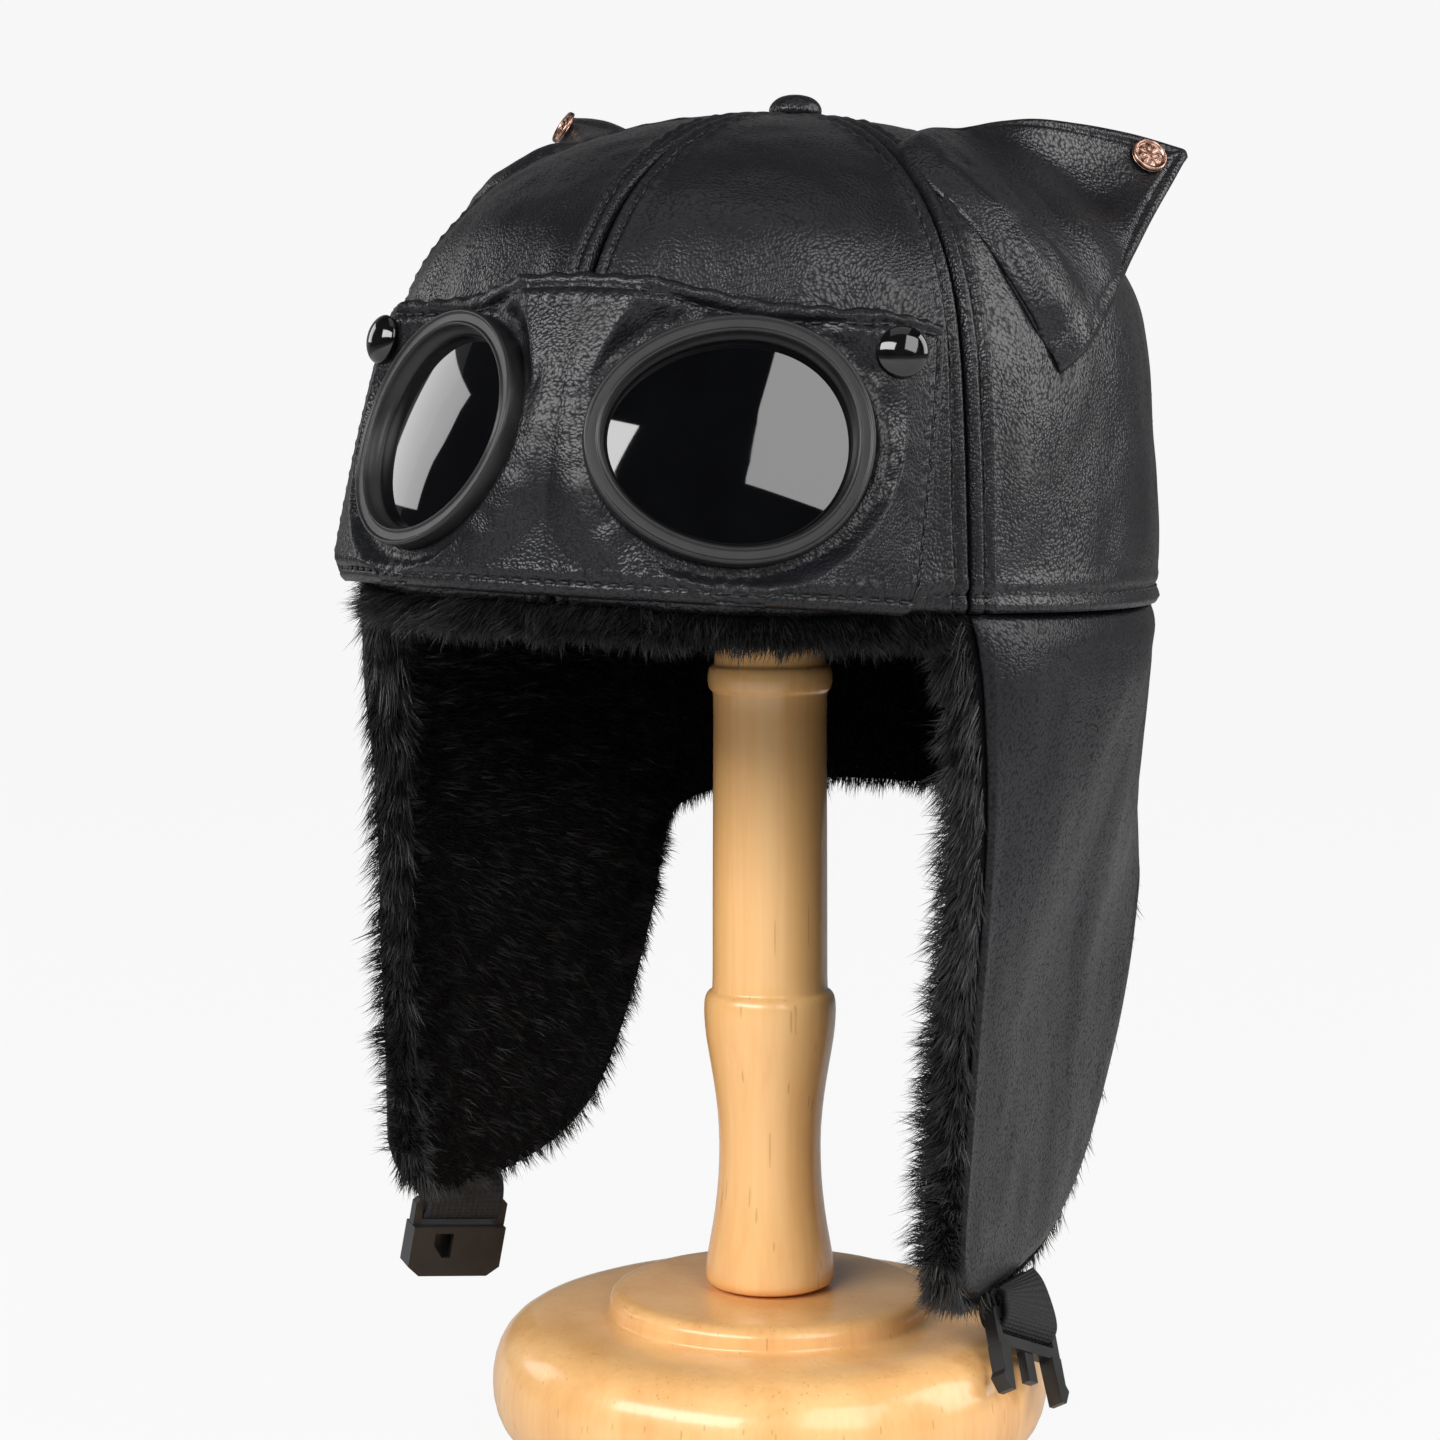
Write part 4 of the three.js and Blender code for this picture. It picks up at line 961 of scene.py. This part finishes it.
def band_shape():
    """Band with rounded corners and a hole for each ring."""
    shape = bmesh.new()
    bmesh.ops.create_grid(shape, x_segments=280, y_segments=110, size=0.5)
    share = np.array([vert.co.xy for vert in shape.verts]) + 0.5
    # The corners are rounded, the lower ones more
    corner = np.where(share[:, 1] < 0.5, 7.0, 4.0)
    x = share[:, 0] * band_width
    y = share[:, 1] * band_height
    from_side = np.minimum(x, band_width - x)
    from_end = np.minimum(y, band_height - y)
    reach = np.hypot(np.maximum(0, corner - from_side), np.maximum(0, corner - from_end))
    nearest = np.minimum(from_side, from_end)
    over = np.where((from_side < corner) & (from_end < corner), np.maximum(0, reach - (corner - nearest)), 0)
    centre_x = np.where(x < band_width / 2, corner, band_width - corner)
    centre_y = np.where(y < band_height / 2, corner, band_height - corner)
    pull = np.where(reach > 0, over / np.maximum(reach, 1e-6), 0)
    x = x + (centre_x - x) * pull
    y = y + (centre_y - y) * pull
    u = x / band_width
    v = y / band_height
    points = band_detail(u, v)
    ring_share = ring_place(band_surface(u, v))[0]
    for vert, point in zip(shape.verts, on_stand(points)):
        vert.co = point
    shape.verts.ensure_lookup_table()
    cut = [vert for vert, place in zip(shape.verts, ring_share) if place < 0.93]
    bmesh.ops.delete(shape, geom=cut, context="VERTS")
    shape.normal_update()
    if sum(face.normal.y for face in shape.faces) > 0:
        bmesh.ops.reverse_faces(shape, faces=shape.faces[:])
    return shape


band_leather = leather_finish("band_leather", 1300.0, 0.00012, 0.38, 0.44)
band_piece = finished_piece("goggle_band_leather", band_shape(), band_leather, ("goggle_band",))
thickened(band_piece, band_thickness, -1)

band_rows = []
inset_u = band_row / band_width
inset_v = band_row / band_height
run = np.linspace(0, 1, 300)
for start, end in (
    ((inset_u, inset_v), (1 - inset_u, inset_v)),
    ((inset_u, 1 - inset_v), (1 - inset_u, 1 - inset_v)),
    ((inset_u, inset_v), (inset_u, 1 - inset_v)),
    ((1 - inset_u, inset_v), (1 - inset_u, 1 - inset_v)),
):
    u = start[0] + (end[0] - start[0]) * run
    v = start[1] + (end[1] - start[1]) * run
    band_rows.append(row_on(band_detail, u, v, band_inside, False))
stitched("band_stitches", band_rows)

# Goggle rings
# Each goggle is an egg-shaped ring of black moulded plastic with a flat satin face and thin rounded rims. It
# grips the edge of the band's opening, and its stepped inside holds the lens.
ring_section = [
    (0.15, -7.5), (0.15, -1.1), (0.15, -0.75), (0.08, -0.4), (-0.1, -0.15), (-0.35, -0.05), (-0.6, -0.12),
    (-0.78, -0.3), (-0.9, -0.42), (-1.05, -0.44), (-2.4, -0.5), (-2.55, -0.5), (-2.68, -0.38), (-2.85, -0.2),
    (-3.08, -0.15), (-3.28, -0.25), (-3.42, -0.5), (-3.55, -1.0), (-3.9, -3.0), (-4.3, -3.15), (-4.3, -7.4),
    (-2.0, -7.7),
]


def egg_point(angle, grow, off):
    """Point of a goggle by angle, distance out from its outline and distance in front of its face."""
    across = (ring_half_width + grow) * np.cos(angle) + ring_egg * np.sin(angle) ** 2
    up = (ring_half_height + grow) * np.sin(angle)
    return (ring_centre + across[..., None] * ring_across + up[..., None] * ring_up
            + np.asarray(off)[..., None] * ring_normal)


def closed(shape, points, flip):
    """Moves a grid's points to their places and joins it where its edges meet."""
    for vert, point in zip(shape.verts, on_stand(points * sides(flip))):
        vert.co = point
    bmesh.ops.remove_doubles(shape, verts=shape.verts[:], dist=2e-6)
    bmesh.ops.recalc_face_normals(shape, faces=shape.faces[:])
    return shape


def ring_shape(flip):
    shape = bmesh.new()
    bmesh.ops.create_grid(shape, x_segments=192, y_segments=len(ring_section), size=0.5)
    share = np.array([vert.co.xy for vert in shape.verts]) + 0.5
    section = np.array(ring_section + [ring_section[0]], float)
    place = share[:, 1] * (len(section) - 1)
    grow = np.interp(place, range(len(section)), section[:, 0])
    off = np.interp(place, range(len(section)), section[:, 1])
    return closed(shape, egg_point(share[:, 0] * 2 * np.pi, grow, off), flip)


def moulded_plastic(name, tone, rough):
    """Black plastic with fine moulded grit, a little worn in places."""
    material, tree, shader, at = new_material(name)
    grit = node(tree, "TexNoise", {"Scale": 2400.0, "Detail": 2.0}, {"Vector": at}).outputs["Fac"]
    wear = node(tree, "TexNoise", {"Scale": 90.0, "Detail": 4.0, "Roughness": 0.6},
                {"Vector": at}).outputs["Fac"]
    dark = (tone * 0.8, tone * 0.8, tone * 0.84)
    light = (tone * 1.3, tone * 1.3, tone * 1.35)
    tree.links.new(colour_steps(tree, wear, [(0.35, dark), (0.7, light)]), shader.inputs["Base Color"])
    uneven = maths(tree, "ADD", maths(tree, "MULTIPLY", wear, 0.18), rough - 0.09)
    tree.links.new(uneven, shader.inputs["Roughness"])
    bump = node(tree, "Bump", {"Strength": 0.25, "Distance": 0.00004}, {"Height": grit})
    tree.links.new(bump.outputs["Normal"], shader.inputs["Normal"])
    return material


ring_plastic = moulded_plastic("ring_plastic", 0.009, 0.4)
for side in ("left", "right"):
    finished_piece("goggle_ring_" + side + "_moulded", ring_shape(side == "right"), ring_plastic,
                   ("goggle_ring_" + side,))

# Lenses
# Crowned black lenses, polished to a deep gloss with a few hairline scratches, snapped in behind the rings'
# inner step.
lens_rise = 2.6
lens_seat = -4.0
lens_thickness = 1.8
lens_edge = -4.2


def lens_shape(flip):
    shape = bmesh.new()
    bmesh.ops.create_grid(shape, x_segments=96, y_segments=30, size=0.5)
    share = np.array([vert.co.xy for vert in shape.verts]) + 0.5
    angle = share[:, 0] * 2 * np.pi
    # The rows run from the middle of the front out to the edge and back to the middle of the rear
    out = np.clip(1 - np.abs(2 * share[:, 1] - 1), 0, 1) ** 0.5
    rear = share[:, 1] > 0.5
    rim = egg_point(angle, np.full(len(angle), lens_edge), np.zeros(len(angle))) - ring_centre
    rise = lens_seat + lens_rise * (1 - out ** 2) - np.where(rear, lens_thickness, 0)
    points = ring_centre + rim * out[:, None] + rise[:, None] * ring_normal
    return closed(shape, points, flip)


def lens_gloss():
    material, tree, shader, at = new_material("lens_gloss")
    haze = node(tree, "TexNoise", {"Scale": 70.0, "Detail": 3.0}, {"Vector": at}).outputs["Fac"]
    scratch_at = node(tree, "Mapping", {"Rotation": (0.3, 0.2, 0.9), "Scale": (1.0, 24.0, 24.0)},
                      {"Vector": at}).outputs["Vector"]
    scratches = node(tree, "TexVoronoi", {"Scale": 42.0}, {"Vector": scratch_at}).outputs["Distance"]
    fine = maths(tree, "MULTIPLY", maths(tree, "LESS_THAN", scratches, 0.035), 0.25)
    deep = colour_steps(tree, haze, [(0.3, (0.0006, 0.0007, 0.0012)), (0.7, (0.0014, 0.0016, 0.0024))])
    tree.links.new(deep, shader.inputs["Base Color"])
    smooth = maths(tree, "ADD", maths(tree, "MULTIPLY", haze, 0.03), 0.015)
    tree.links.new(maths(tree, "ADD", smooth, fine), shader.inputs["Roughness"])
    shader.inputs["IOR"].default_value = 1.7
    return material


gloss = lens_gloss()
for side in ("left", "right"):
    finished_piece("goggle_lens_" + side + "_crowned", lens_shape(side == "right"), gloss,
                   ("goggle_lens_" + side,))

# Snaps
# Domed press-stud caps in glossy black enamel, set through the band's upper corners and closed on the crown
# underneath.
snap_along = 0.8
snap_height = 0.865


def placed_turned(outline, steps, at, out, flip, ripple=None):
    """Turned shape set on a point of the helmet with its axis along a direction, in mm."""
    shape = turned_shape(outline, steps)
    axis = unit(np.asarray(out, float))
    side = unit(np.cross(np.array([0, 0, 1.0]), axis))
    up = np.cross(axis, side)
    for vert in shape.verts:
        x, y, z = vert.co
        if ripple:
            z = ripple(x, y, z)
        vert.co = on_stand((at + side * x + up * y + axis * z) * sides(flip))
    bmesh.ops.recalc_face_normals(shape, faces=shape.faces[:])
    return shape


def enamel_finish():
    material, tree, shader, at = new_material("black_enamel")
    handled = node(tree, "TexNoise", {"Scale": 300.0, "Detail": 3.0}, {"Vector": at}).outputs["Fac"]
    black = colour_steps(tree, handled, [(0.3, (0.002, 0.002, 0.0022)), (0.7, (0.005, 0.005, 0.0055))])
    tree.links.new(black, shader.inputs["Base Color"])
    smooth = maths(tree, "ADD", maths(tree, "MULTIPLY", handled, 0.08), 0.04)
    tree.links.new(smooth, shader.inputs["Roughness"])
    shader.inputs["Coat Weight"].default_value = 0.6
    shader.inputs["Coat Roughness"].default_value = 0.03
    return material


enamel = enamel_finish()
snap_outline = [
    (0, -0.3), (5.1, -0.3), (5.5, 0.0), (5.6, 0.4), (5.45, 0.8), (5.05, 1.3), (4.3, 1.9), (3.2, 2.45),
    (1.7, 2.85), (0, 3.0),
]
snap_u = np.array([0.5 + snap_along / 2])
snap_v = np.array([snap_height])
for side in ("left", "right"):
    snap_at = band_surface(snap_u, snap_v)[0]
    snap_out = facing(band_surface, snap_u, snap_v, band_inside)[0]
    cap = placed_turned(snap_outline, 48, snap_at + snap_out * 0.3, snap_out, side == "right")
    rounded(finished_piece("snap_" + side + "_cap", cap, enamel, ("snap_" + side,)), 1)

# Ears
# Each cat ear is two layers of the leather, sewn along the edges and turned, cupped forward like a leaf, and
# sewn to the crown along its base with its lower end gathered to a knot.
ear_base = [
    (68, 0.95, 0, 5), (55, 0.91, 4, 3), (54.5, 0.845, 7, 1.5), (60, 0.745, 8, 0), (64.5, 0.63, 5, 0),
    (71.5, 0.465, 0, 0),
]
ear_tips = {
    "left": {"at": (84, 40, 106.5), "top_turn": 0, "low_turn": 0, "bow": 1.0},
    "right": {"at": (84, 40, 115.2), "top_turn": 30, "low_turn": 28, "bow": 0.4},
}
ear_tip_width = 3
ear_thickness = 1.3
ear_heart = np.array([0, 0, 0.36 * crown_height])
layer_step = ear_thickness + 0.3
ear_clearance = 0.9 + 2 * layer_step


def clear_of_crown(points, clearance, softness):
    """Points moved out where they come closer to the crown than a clearance, without a hard edge."""
    way = points - ear_heart
    low = np.zeros(len(points))
    high = np.full(len(points), 1.6)
    for _ in range(20):
        middle = (low + high) / 2
        at = ear_heart + way * middle[:, None]
        around = np.degrees(np.arctan2(at[:, 0] / rim_half_width, -at[:, 1] / rim_half_length))
        surface = crown_shape(around, rise_at(np.maximum(0, at[:, 2])))
        wide = np.hypot(surface[:, 0], surface[:, 1])
        within = (at[:, 2] < crown_height) & (np.hypot(at[:, 0], at[:, 1]) < wide)
        low = np.where(within, middle, low)
        high = np.where(within, high, middle)
    reach = np.linalg.norm(way, axis=1)
    least = low * reach + clearance
    softly = (reach + least + np.hypot(reach - least, softness)) / 2
    return ear_heart + way * (softly / reach)[:, None]


def ear_surface(side):
    """Plain surface of an ear, by share along its base and share up to its tip."""
    form = ear_tips[side]
    tip = np.array(form["at"], float)

    def foot(u):
        around, height, _, _ = np.moveaxis(on_curve(ear_base, u), -1, 0)
        turn = form["low_turn"] * ramp(0.3, 1, u) + form["top_turn"] * (1 - ramp(0, 0.35, u))
        return crown_point(around + turn, rise_at(height * crown_height))

    top = foot(np.array([0.0]))[0]
    spread = unit(foot(np.array([1.0]))[0] - top)
    backward = unit(np.cross(spread, tip - top))
    if backward[1] < 0:
        backward = -backward

    def surface(u, v):
        _, _, cup, bow = np.moveaxis(on_curve(ear_base, u), -1, 0)
        end = tip + spread * ((u - 0.5) * ear_tip_width)[..., None]
        at = foot(u) * (1 - v)[..., None] + end * v[..., None]
        at = at + backward * (cup * np.sin(np.pi * v) ** 1.4)[..., None]
        at[..., 2] += form["bow"] * bow * np.sin(np.pi * v)
        clearance = 1.2 + (ear_clearance - 1.2) * ramp(0, 0.18, v)
        return clear_of_crown(at, clearance, 0.1 + 4 * np.sin(np.pi * v) ** 2)
    return surface


def behind(at):
    return at + np.array([-20, 60, -30])


def ear_front(side):
    """Front layer of an ear with its wrinkles, sewn edge and gathered foot."""
    plain = ear_surface(side)

    def surface(u, v):
        point = plain(u, v)
        width = 95 * (1 - v) + 3
        away = np.minimum(u, 1 - u) * width
        wrinkles = 0.5 * rumple(point, (5, 5, 14), 4.4) * bell(v, 0.12, 0.16)
        folds = 0.8 * rumple(point, (14, 14, 22), 1.9) * np.sin(np.pi * np.clip(v, 0, 1))
        channel = -0.5 * bell(away, 3.0, 0.8) * (1 - ramp(0.9, 1, v))
        rolled = -0.8 * np.exp(-away / 0.8)
        root = -0.9 * (1 - ramp(0, 0.03, v))
        gather = 0.8 * np.sin(u * 60) * bell(u, 1.0, 0.12) * (1 - ramp(0, 0.3, v))
        ridge = 2.3 * bell(v, 0.075, 0.05) - 2.2 * bell(v, 0.26, 0.1)
        relief = wrinkles + folds + channel + rolled + root + gather + ridge * bell(u, 0.55, 0.5)
        return raised(plain, u, v, relief, behind)
    return surface


def ear_back(side):
    """Back layer of an ear, just behind the front one."""
    plain = ear_surface(side)

    def surface(u, v):
        return raised(plain, u, v, -layer_step + 0 * u, behind)
    return surface


ear_leather = leather_finish("ear_leather", 1150.0, 0.00014, 0.36, 0.56)
ear_layers = (("ear_front_", ear_front, 90, 84), ("ear_back_", ear_back, 60, 50))
for side in ("left", "right"):
    for layer_name, layer, columns, rows in ear_layers:
        sewn_panel(layer_name + side + "_leather", layer(side), columns, rows, ear_thickness, ear_leather,
                   (layer_name + side,), side == "right", behind)

# Rivets
# A copper-coloured cap near each ear's tip, riveted through both layers: a rolled rim round a sunken face
# with a plain rosette of small beads.
rivet_outline = [
    (0, 0), (4.1, 0), (4.35, 0.25), (4.4, 0.6), (4.25, 1.0), (3.95, 1.15), (3.65, 1.05), (3.45, 0.8),
    (3.3, 0.68), (2.4, 0.66), (1.2, 0.66), (0, 0.66),
]


def rivet_ripple(x, y, z):
    """Raises a ring of eight beads and one in the middle on the rivet's sunken face."""
    from_axis = np.hypot(x, y)
    if z < 0.5 or from_axis > 3.3:
        return z
    angle = np.arctan2(y, x)
    petals = max(0.0, np.cos(8 * angle)) * np.exp(-(((from_axis - 2.1) / 0.55) ** 2)) * 0.5
    eye = np.exp(-((from_axis / 0.7) ** 2)) * 0.5
    return z + petals + eye


def copper_finish():
    material, tree, shader, at = new_material("worn_copper")
    tarnish = node(tree, "TexNoise", {"Scale": 700.0, "Detail": 4.0}, {"Vector": at}).outputs["Fac"]
    tree.links.new(colour_steps(tree, tarnish, [
        (0.35, (0.12, 0.06, 0.045)), (0.5, (0.42, 0.24, 0.18)), (0.7, (0.66, 0.43, 0.34)),
    ]), shader.inputs["Base Color"])
    rubbed = maths(tree, "ADD", maths(tree, "MULTIPLY", tarnish, 0.3), 0.15)
    tree.links.new(rubbed, shader.inputs["Roughness"])
    shader.inputs["Metallic"].default_value = 1.0
    return material


copper = copper_finish()
rivet_u = np.array([0.42])
rivet_v = np.array([0.86])
dense_rivet = [tuple(row) for row in on_curve(rivet_outline, np.linspace(0, 1, 45))]
dense_rivet[0] = (0, 0)
dense_rivet[-1] = (0, 0.66)
for side in ("left", "right"):
    ear = ear_surface(side)
    rivet_out = facing(ear, rivet_u, rivet_v, behind)[0]
    rivet_at = ear(rivet_u, rivet_v)[0] + rivet_out * 0.6
    cap = placed_turned(dense_rivet, 64, rivet_at, rivet_out, side == "right", rivet_ripple)
    finished_piece("ear_rivet_" + side + "_cap", cap, copper, ("ear_rivet_" + side,))

# Straps
# A short loop of black woven webbing is sewn in at each flap's tip. It runs round the bar of a buckle half,
# and hangs a little turned.
strap_width = 20
strap_thickness = 1.4
loop_length = 32
strap_hang = {
    "left": {"along": 0.255, "down": (0.42, -0.47, -0.78), "twist": 6},
    "right": {"along": 0.25, "down": (0.13, 0, -0.99), "twist": -39},
}
loop_path = [
    (1.8, -0.9), (5, -2.7), (10.5, -3.4), (14, -2.8), (15.8, 0), (14, 2.8), (10.5, 3.4), (5, 2.7), (1.8, 0.9),
]
bar_top = 10.9


def strap_frame(side):
    """Foot of the strap, the ways across it, down along it and out of its face, and its slant at the foot."""
    hang = strap_hang[side]
    surface = skirt_surface(side)
    u = np.array([hang["along"]])
    one = np.array([1.0])
    foot = raised(surface, u, one, np.array([-leather]), skirt_inside)[0]
    down = unit(np.array(hang["down"], float))
    across = unit((surface(u + 0.03, one) - surface(u - 0.03, one))[0])
    slant = across @ down
    across = unit(across - down * slant)
    return foot, across, down, np.cross(across, down), slant


def strap_place(side, points):
    foot, across, down, out, _ = strap_frame(side)
    placed = foot + points[:, :1] * across + points[:, 1:2] * down + points[:, 2:] * out
    return placed * sides(side == "right")


def twisted(points, side, settled):
    angle = np.radians(strap_hang[side]["twist"]) * settled
    x = points[:, 0] * np.cos(angle) + points[:, 2] * np.sin(angle)
    z = -points[:, 0] * np.sin(angle) + points[:, 2] * np.cos(angle)
    return np.stack([x, points[:, 1], z], -1)


def strap_shape(side):
    shape = bmesh.new()
    bmesh.ops.create_grid(shape, x_segments=72, y_segments=24, size=0.5, calc_uvs=False)
    share = np.array([vert.co.xy for vert in shape.verts]) + 0.5
    middle = on_curve(loop_path, share[:, 0])
    across = (share[:, 1] - 0.5) * strap_width
    points = np.stack([across, middle[:, 0], middle[:, 1]], -1)
    settled = ramp(1, bar_top, points[:, 1])
    points[:, 1] += points[:, 0] * strap_frame(side)[4] * (1 - settled)
    points = twisted(points, side, settled)
    for vert, point in zip(shape.verts, on_stand(strap_place(side, points))):
        vert.co = point
    weave_at = shape.loops.layers.uv.new("webbing")
    shape.verts.index_update()
    for face in shape.faces:
        for loop in face.loops:
            u, v = share[loop.vert.index]
            loop[weave_at].uv = (u * loop_length / 1000, v * strap_width / 1000)
    return shape


def webbing_finish():
    material = bpy.data.materials.new("black_webbing")
    material.use_nodes = True
    tree = material.node_tree
    shader = tree.nodes["Principled BSDF"]
    at = node(tree, "UVMap", uv_map="webbing").outputs["UV"]
    ribs = node(tree, "TexWave", {"Scale": 210.0, "Distortion": 0.4}, {"Vector": at},
                bands_direction="Y").outputs["Fac"]
    picks = node(tree, "TexWave", {"Scale": 330.0, "Distortion": 0.6}, {"Vector": at},
                 bands_direction="X").outputs["Fac"]
    weave = maths(tree, "MULTIPLY", maths(tree, "ADD", ribs, 0.35), maths(tree, "ADD", picks, 0.4))
    black = colour_steps(tree, weave, [(0.1, (0.003, 0.003, 0.0035)), (0.9, (0.016, 0.016, 0.018))])
    tree.links.new(black, shader.inputs["Base Color"])
    bump = node(tree, "Bump", {"Strength": 0.8, "Distance": 0.0002}, {"Height": weave})
    tree.links.new(bump.outputs["Normal"], shader.inputs["Normal"])
    shader.inputs["Roughness"].default_value = 0.7
    return material


webbing = webbing_finish()
for side in ("left", "right"):
    strap_node = "strap_" + side
    loop = finished_piece(strap_node + "_webbing", strap_shape(side), webbing, (strap_node,))
    thickened(loop, strap_thickness, 0)

# Buckle halves
# One side-release buckle in black moulded plastic, with its pronged half on the left strap and its socket
# half on the right one.
buckle_plastic = moulded_plastic("buckle_plastic", 0.016, 0.36)
for buckle_name in ("buckle_male", "buckle_female"):
    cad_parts[buckle_name].material_slots[0].material = buckle_plastic

# Studio
# Pale paper that sweeps up behind the stand, five soft boxes with faint light from all round, and the camera
# at the photo's angle. The focal length and shift are in the photo's pixels.
photo_size = 1440
focal_length = 3050
frame_shift = -50
paper_size = 14
paper_front = -6
bend_start = 3.4
bend_radius = 0.8
camera_turn = np.radians(25.03)
camera_tilt = np.radians(4.67)
camera_away = 0.731
camera_height = 0.237


def sweep_shape():
    shape = bmesh.new()
    bmesh.ops.create_grid(shape, x_segments=40, y_segments=80, size=0.5)
    for vert in shape.verts:
        across = vert.co.x * paper_size
        along = (vert.co.y + 0.5) * paper_size + paper_front
        height = 0.0
        if along > bend_start:
            angle = min(np.pi / 2, (along - bend_start) / bend_radius)
            height = bend_radius * (1 - np.cos(angle))
            if angle >= np.pi / 2:
                height = bend_radius + (along - bend_start - bend_radius * np.pi / 2)
            along = bend_start + bend_radius * np.sin(angle)
        vert.co = (across * np.cos(camera_turn) - along * np.sin(camera_turn),
                   across * np.sin(camera_turn) + along * np.cos(camera_turn), height)
    bmesh.ops.recalc_face_normals(shape, faces=shape.faces[:])
    return shape


floor_mesh = bpy.data.meshes.new("studio_floor")
floor_shape = sweep_shape()
floor_shape.to_mesh(floor_mesh)
floor_shape.free()
floor_mesh.polygons.foreach_set("use_smooth", [True] * len(floor_mesh.polygons))
studio_floor = bpy.data.objects.new("studio_floor", floor_mesh)
bpy.context.collection.objects.link(studio_floor)
paper = bpy.data.materials.new("pale_paper")
paper.use_nodes = True
paper_tree = paper.node_tree
paper_shader = paper_tree.nodes["Principled BSDF"]
paper_shader.inputs["Base Color"].default_value = (0.62, 0.62, 0.62, 1)
paper_shader.inputs["Roughness"].default_value = 0.9
paper_shader.inputs["Specular IOR Level"].default_value = 0.0
paper_shader.inputs["Emission Color"].default_value = (1, 1, 1, 1)
paper_shader.inputs["Emission Strength"].default_value = 0.1
# Lights of its own keep the paper even, and leave only a trace of the stand's shadow
bright = node(paper_tree, "Emission", {"Color": (1, 1, 1, 1), "Strength": 0.962})
seen = node(paper_tree, "LightPath").outputs["Is Camera Ray"]
evenly = node(paper_tree, "MixShader", links={
    0: maths(paper_tree, "MULTIPLY", seen, 0.96), 1: paper_shader.outputs[0], 2: bright.outputs[0],
})
paper_tree.links.new(evenly.outputs[0], paper_tree.nodes["Material Output"].inputs["Surface"])
floor_mesh.materials.append(paper)

world = bpy.data.worlds.new("studio")
world.use_nodes = True
world_tree = world.node_tree
all_round = world_tree.nodes["Background"]
all_round.inputs["Color"].default_value = (1, 1, 1, 1)
# Behind the paper the camera sees the same white, while the light from all round stays faint
seen_past = node(world_tree, "LightPath").outputs["Is Camera Ray"]
strength = maths(world_tree, "ADD", maths(world_tree, "MULTIPLY", seen_past, 0.91), 0.03)
world_tree.links.new(strength, all_round.inputs["Strength"])
bpy.context.scene.world = world


def soft_box(name, azimuth, elevation, distance, width, height, radiance, roll=0.0):
    """Rectangular light that faces the goggles, by azimuth from the front towards the wearer's left."""
    turn = np.radians(azimuth)
    rise = np.radians(elevation)
    centre = Vector((0.02, -0.09, 0.245))
    way = Vector((np.sin(turn) * np.cos(rise), -np.cos(turn) * np.cos(rise), np.sin(rise)))
    data = bpy.data.lights.new(name, "AREA")
    data.shape = "RECTANGLE"
    data.size = width
    data.size_y = height
    data.energy = radiance * width * height * np.pi
    light = bpy.data.objects.new(name, data)
    aim = way.to_track_quat("Z", "Y").to_matrix().to_4x4()
    light.matrix_world = Matrix.Translation(centre + way * distance) @ aim @ Matrix.Rotation(roll, 4, "Z")
    bpy.context.collection.objects.link(light)


soft_box("key_box", 61, 29, 1.3, 0.75, 0.95, 4.1, np.radians(-24))
soft_box("front_box", -18, 27, 1.3, 1.38, 0.46, 9.0)
soft_box("left_box", -99, 15, 1.3, 0.42, 0.45, 2.7)
soft_box("right_box", 118, 22, 1.3, 0.7, 1.0, 4.2)
soft_box("top_box", 20, 84, 1.5, 1.3, 1.3, 0.5)

scene = bpy.context.scene
scene.view_settings.view_transform = "Standard"
lens_data = bpy.data.cameras.new("photo_camera")
lens_data.sensor_width = 36
lens_data.lens = 36 * focal_length / photo_size
lens_data.shift_x = frame_shift / photo_size
lens_data.clip_start = 0.05
lens_data.clip_end = 60
camera = bpy.data.objects.new("photo_camera", lens_data)
camera.location = (camera_away * np.sin(camera_turn), -camera_away * np.cos(camera_turn), camera_height)
camera.rotation_euler = (np.pi / 2 - camera_tilt, 0, camera_turn)
bpy.context.collection.objects.link(camera)
scene.camera = camera
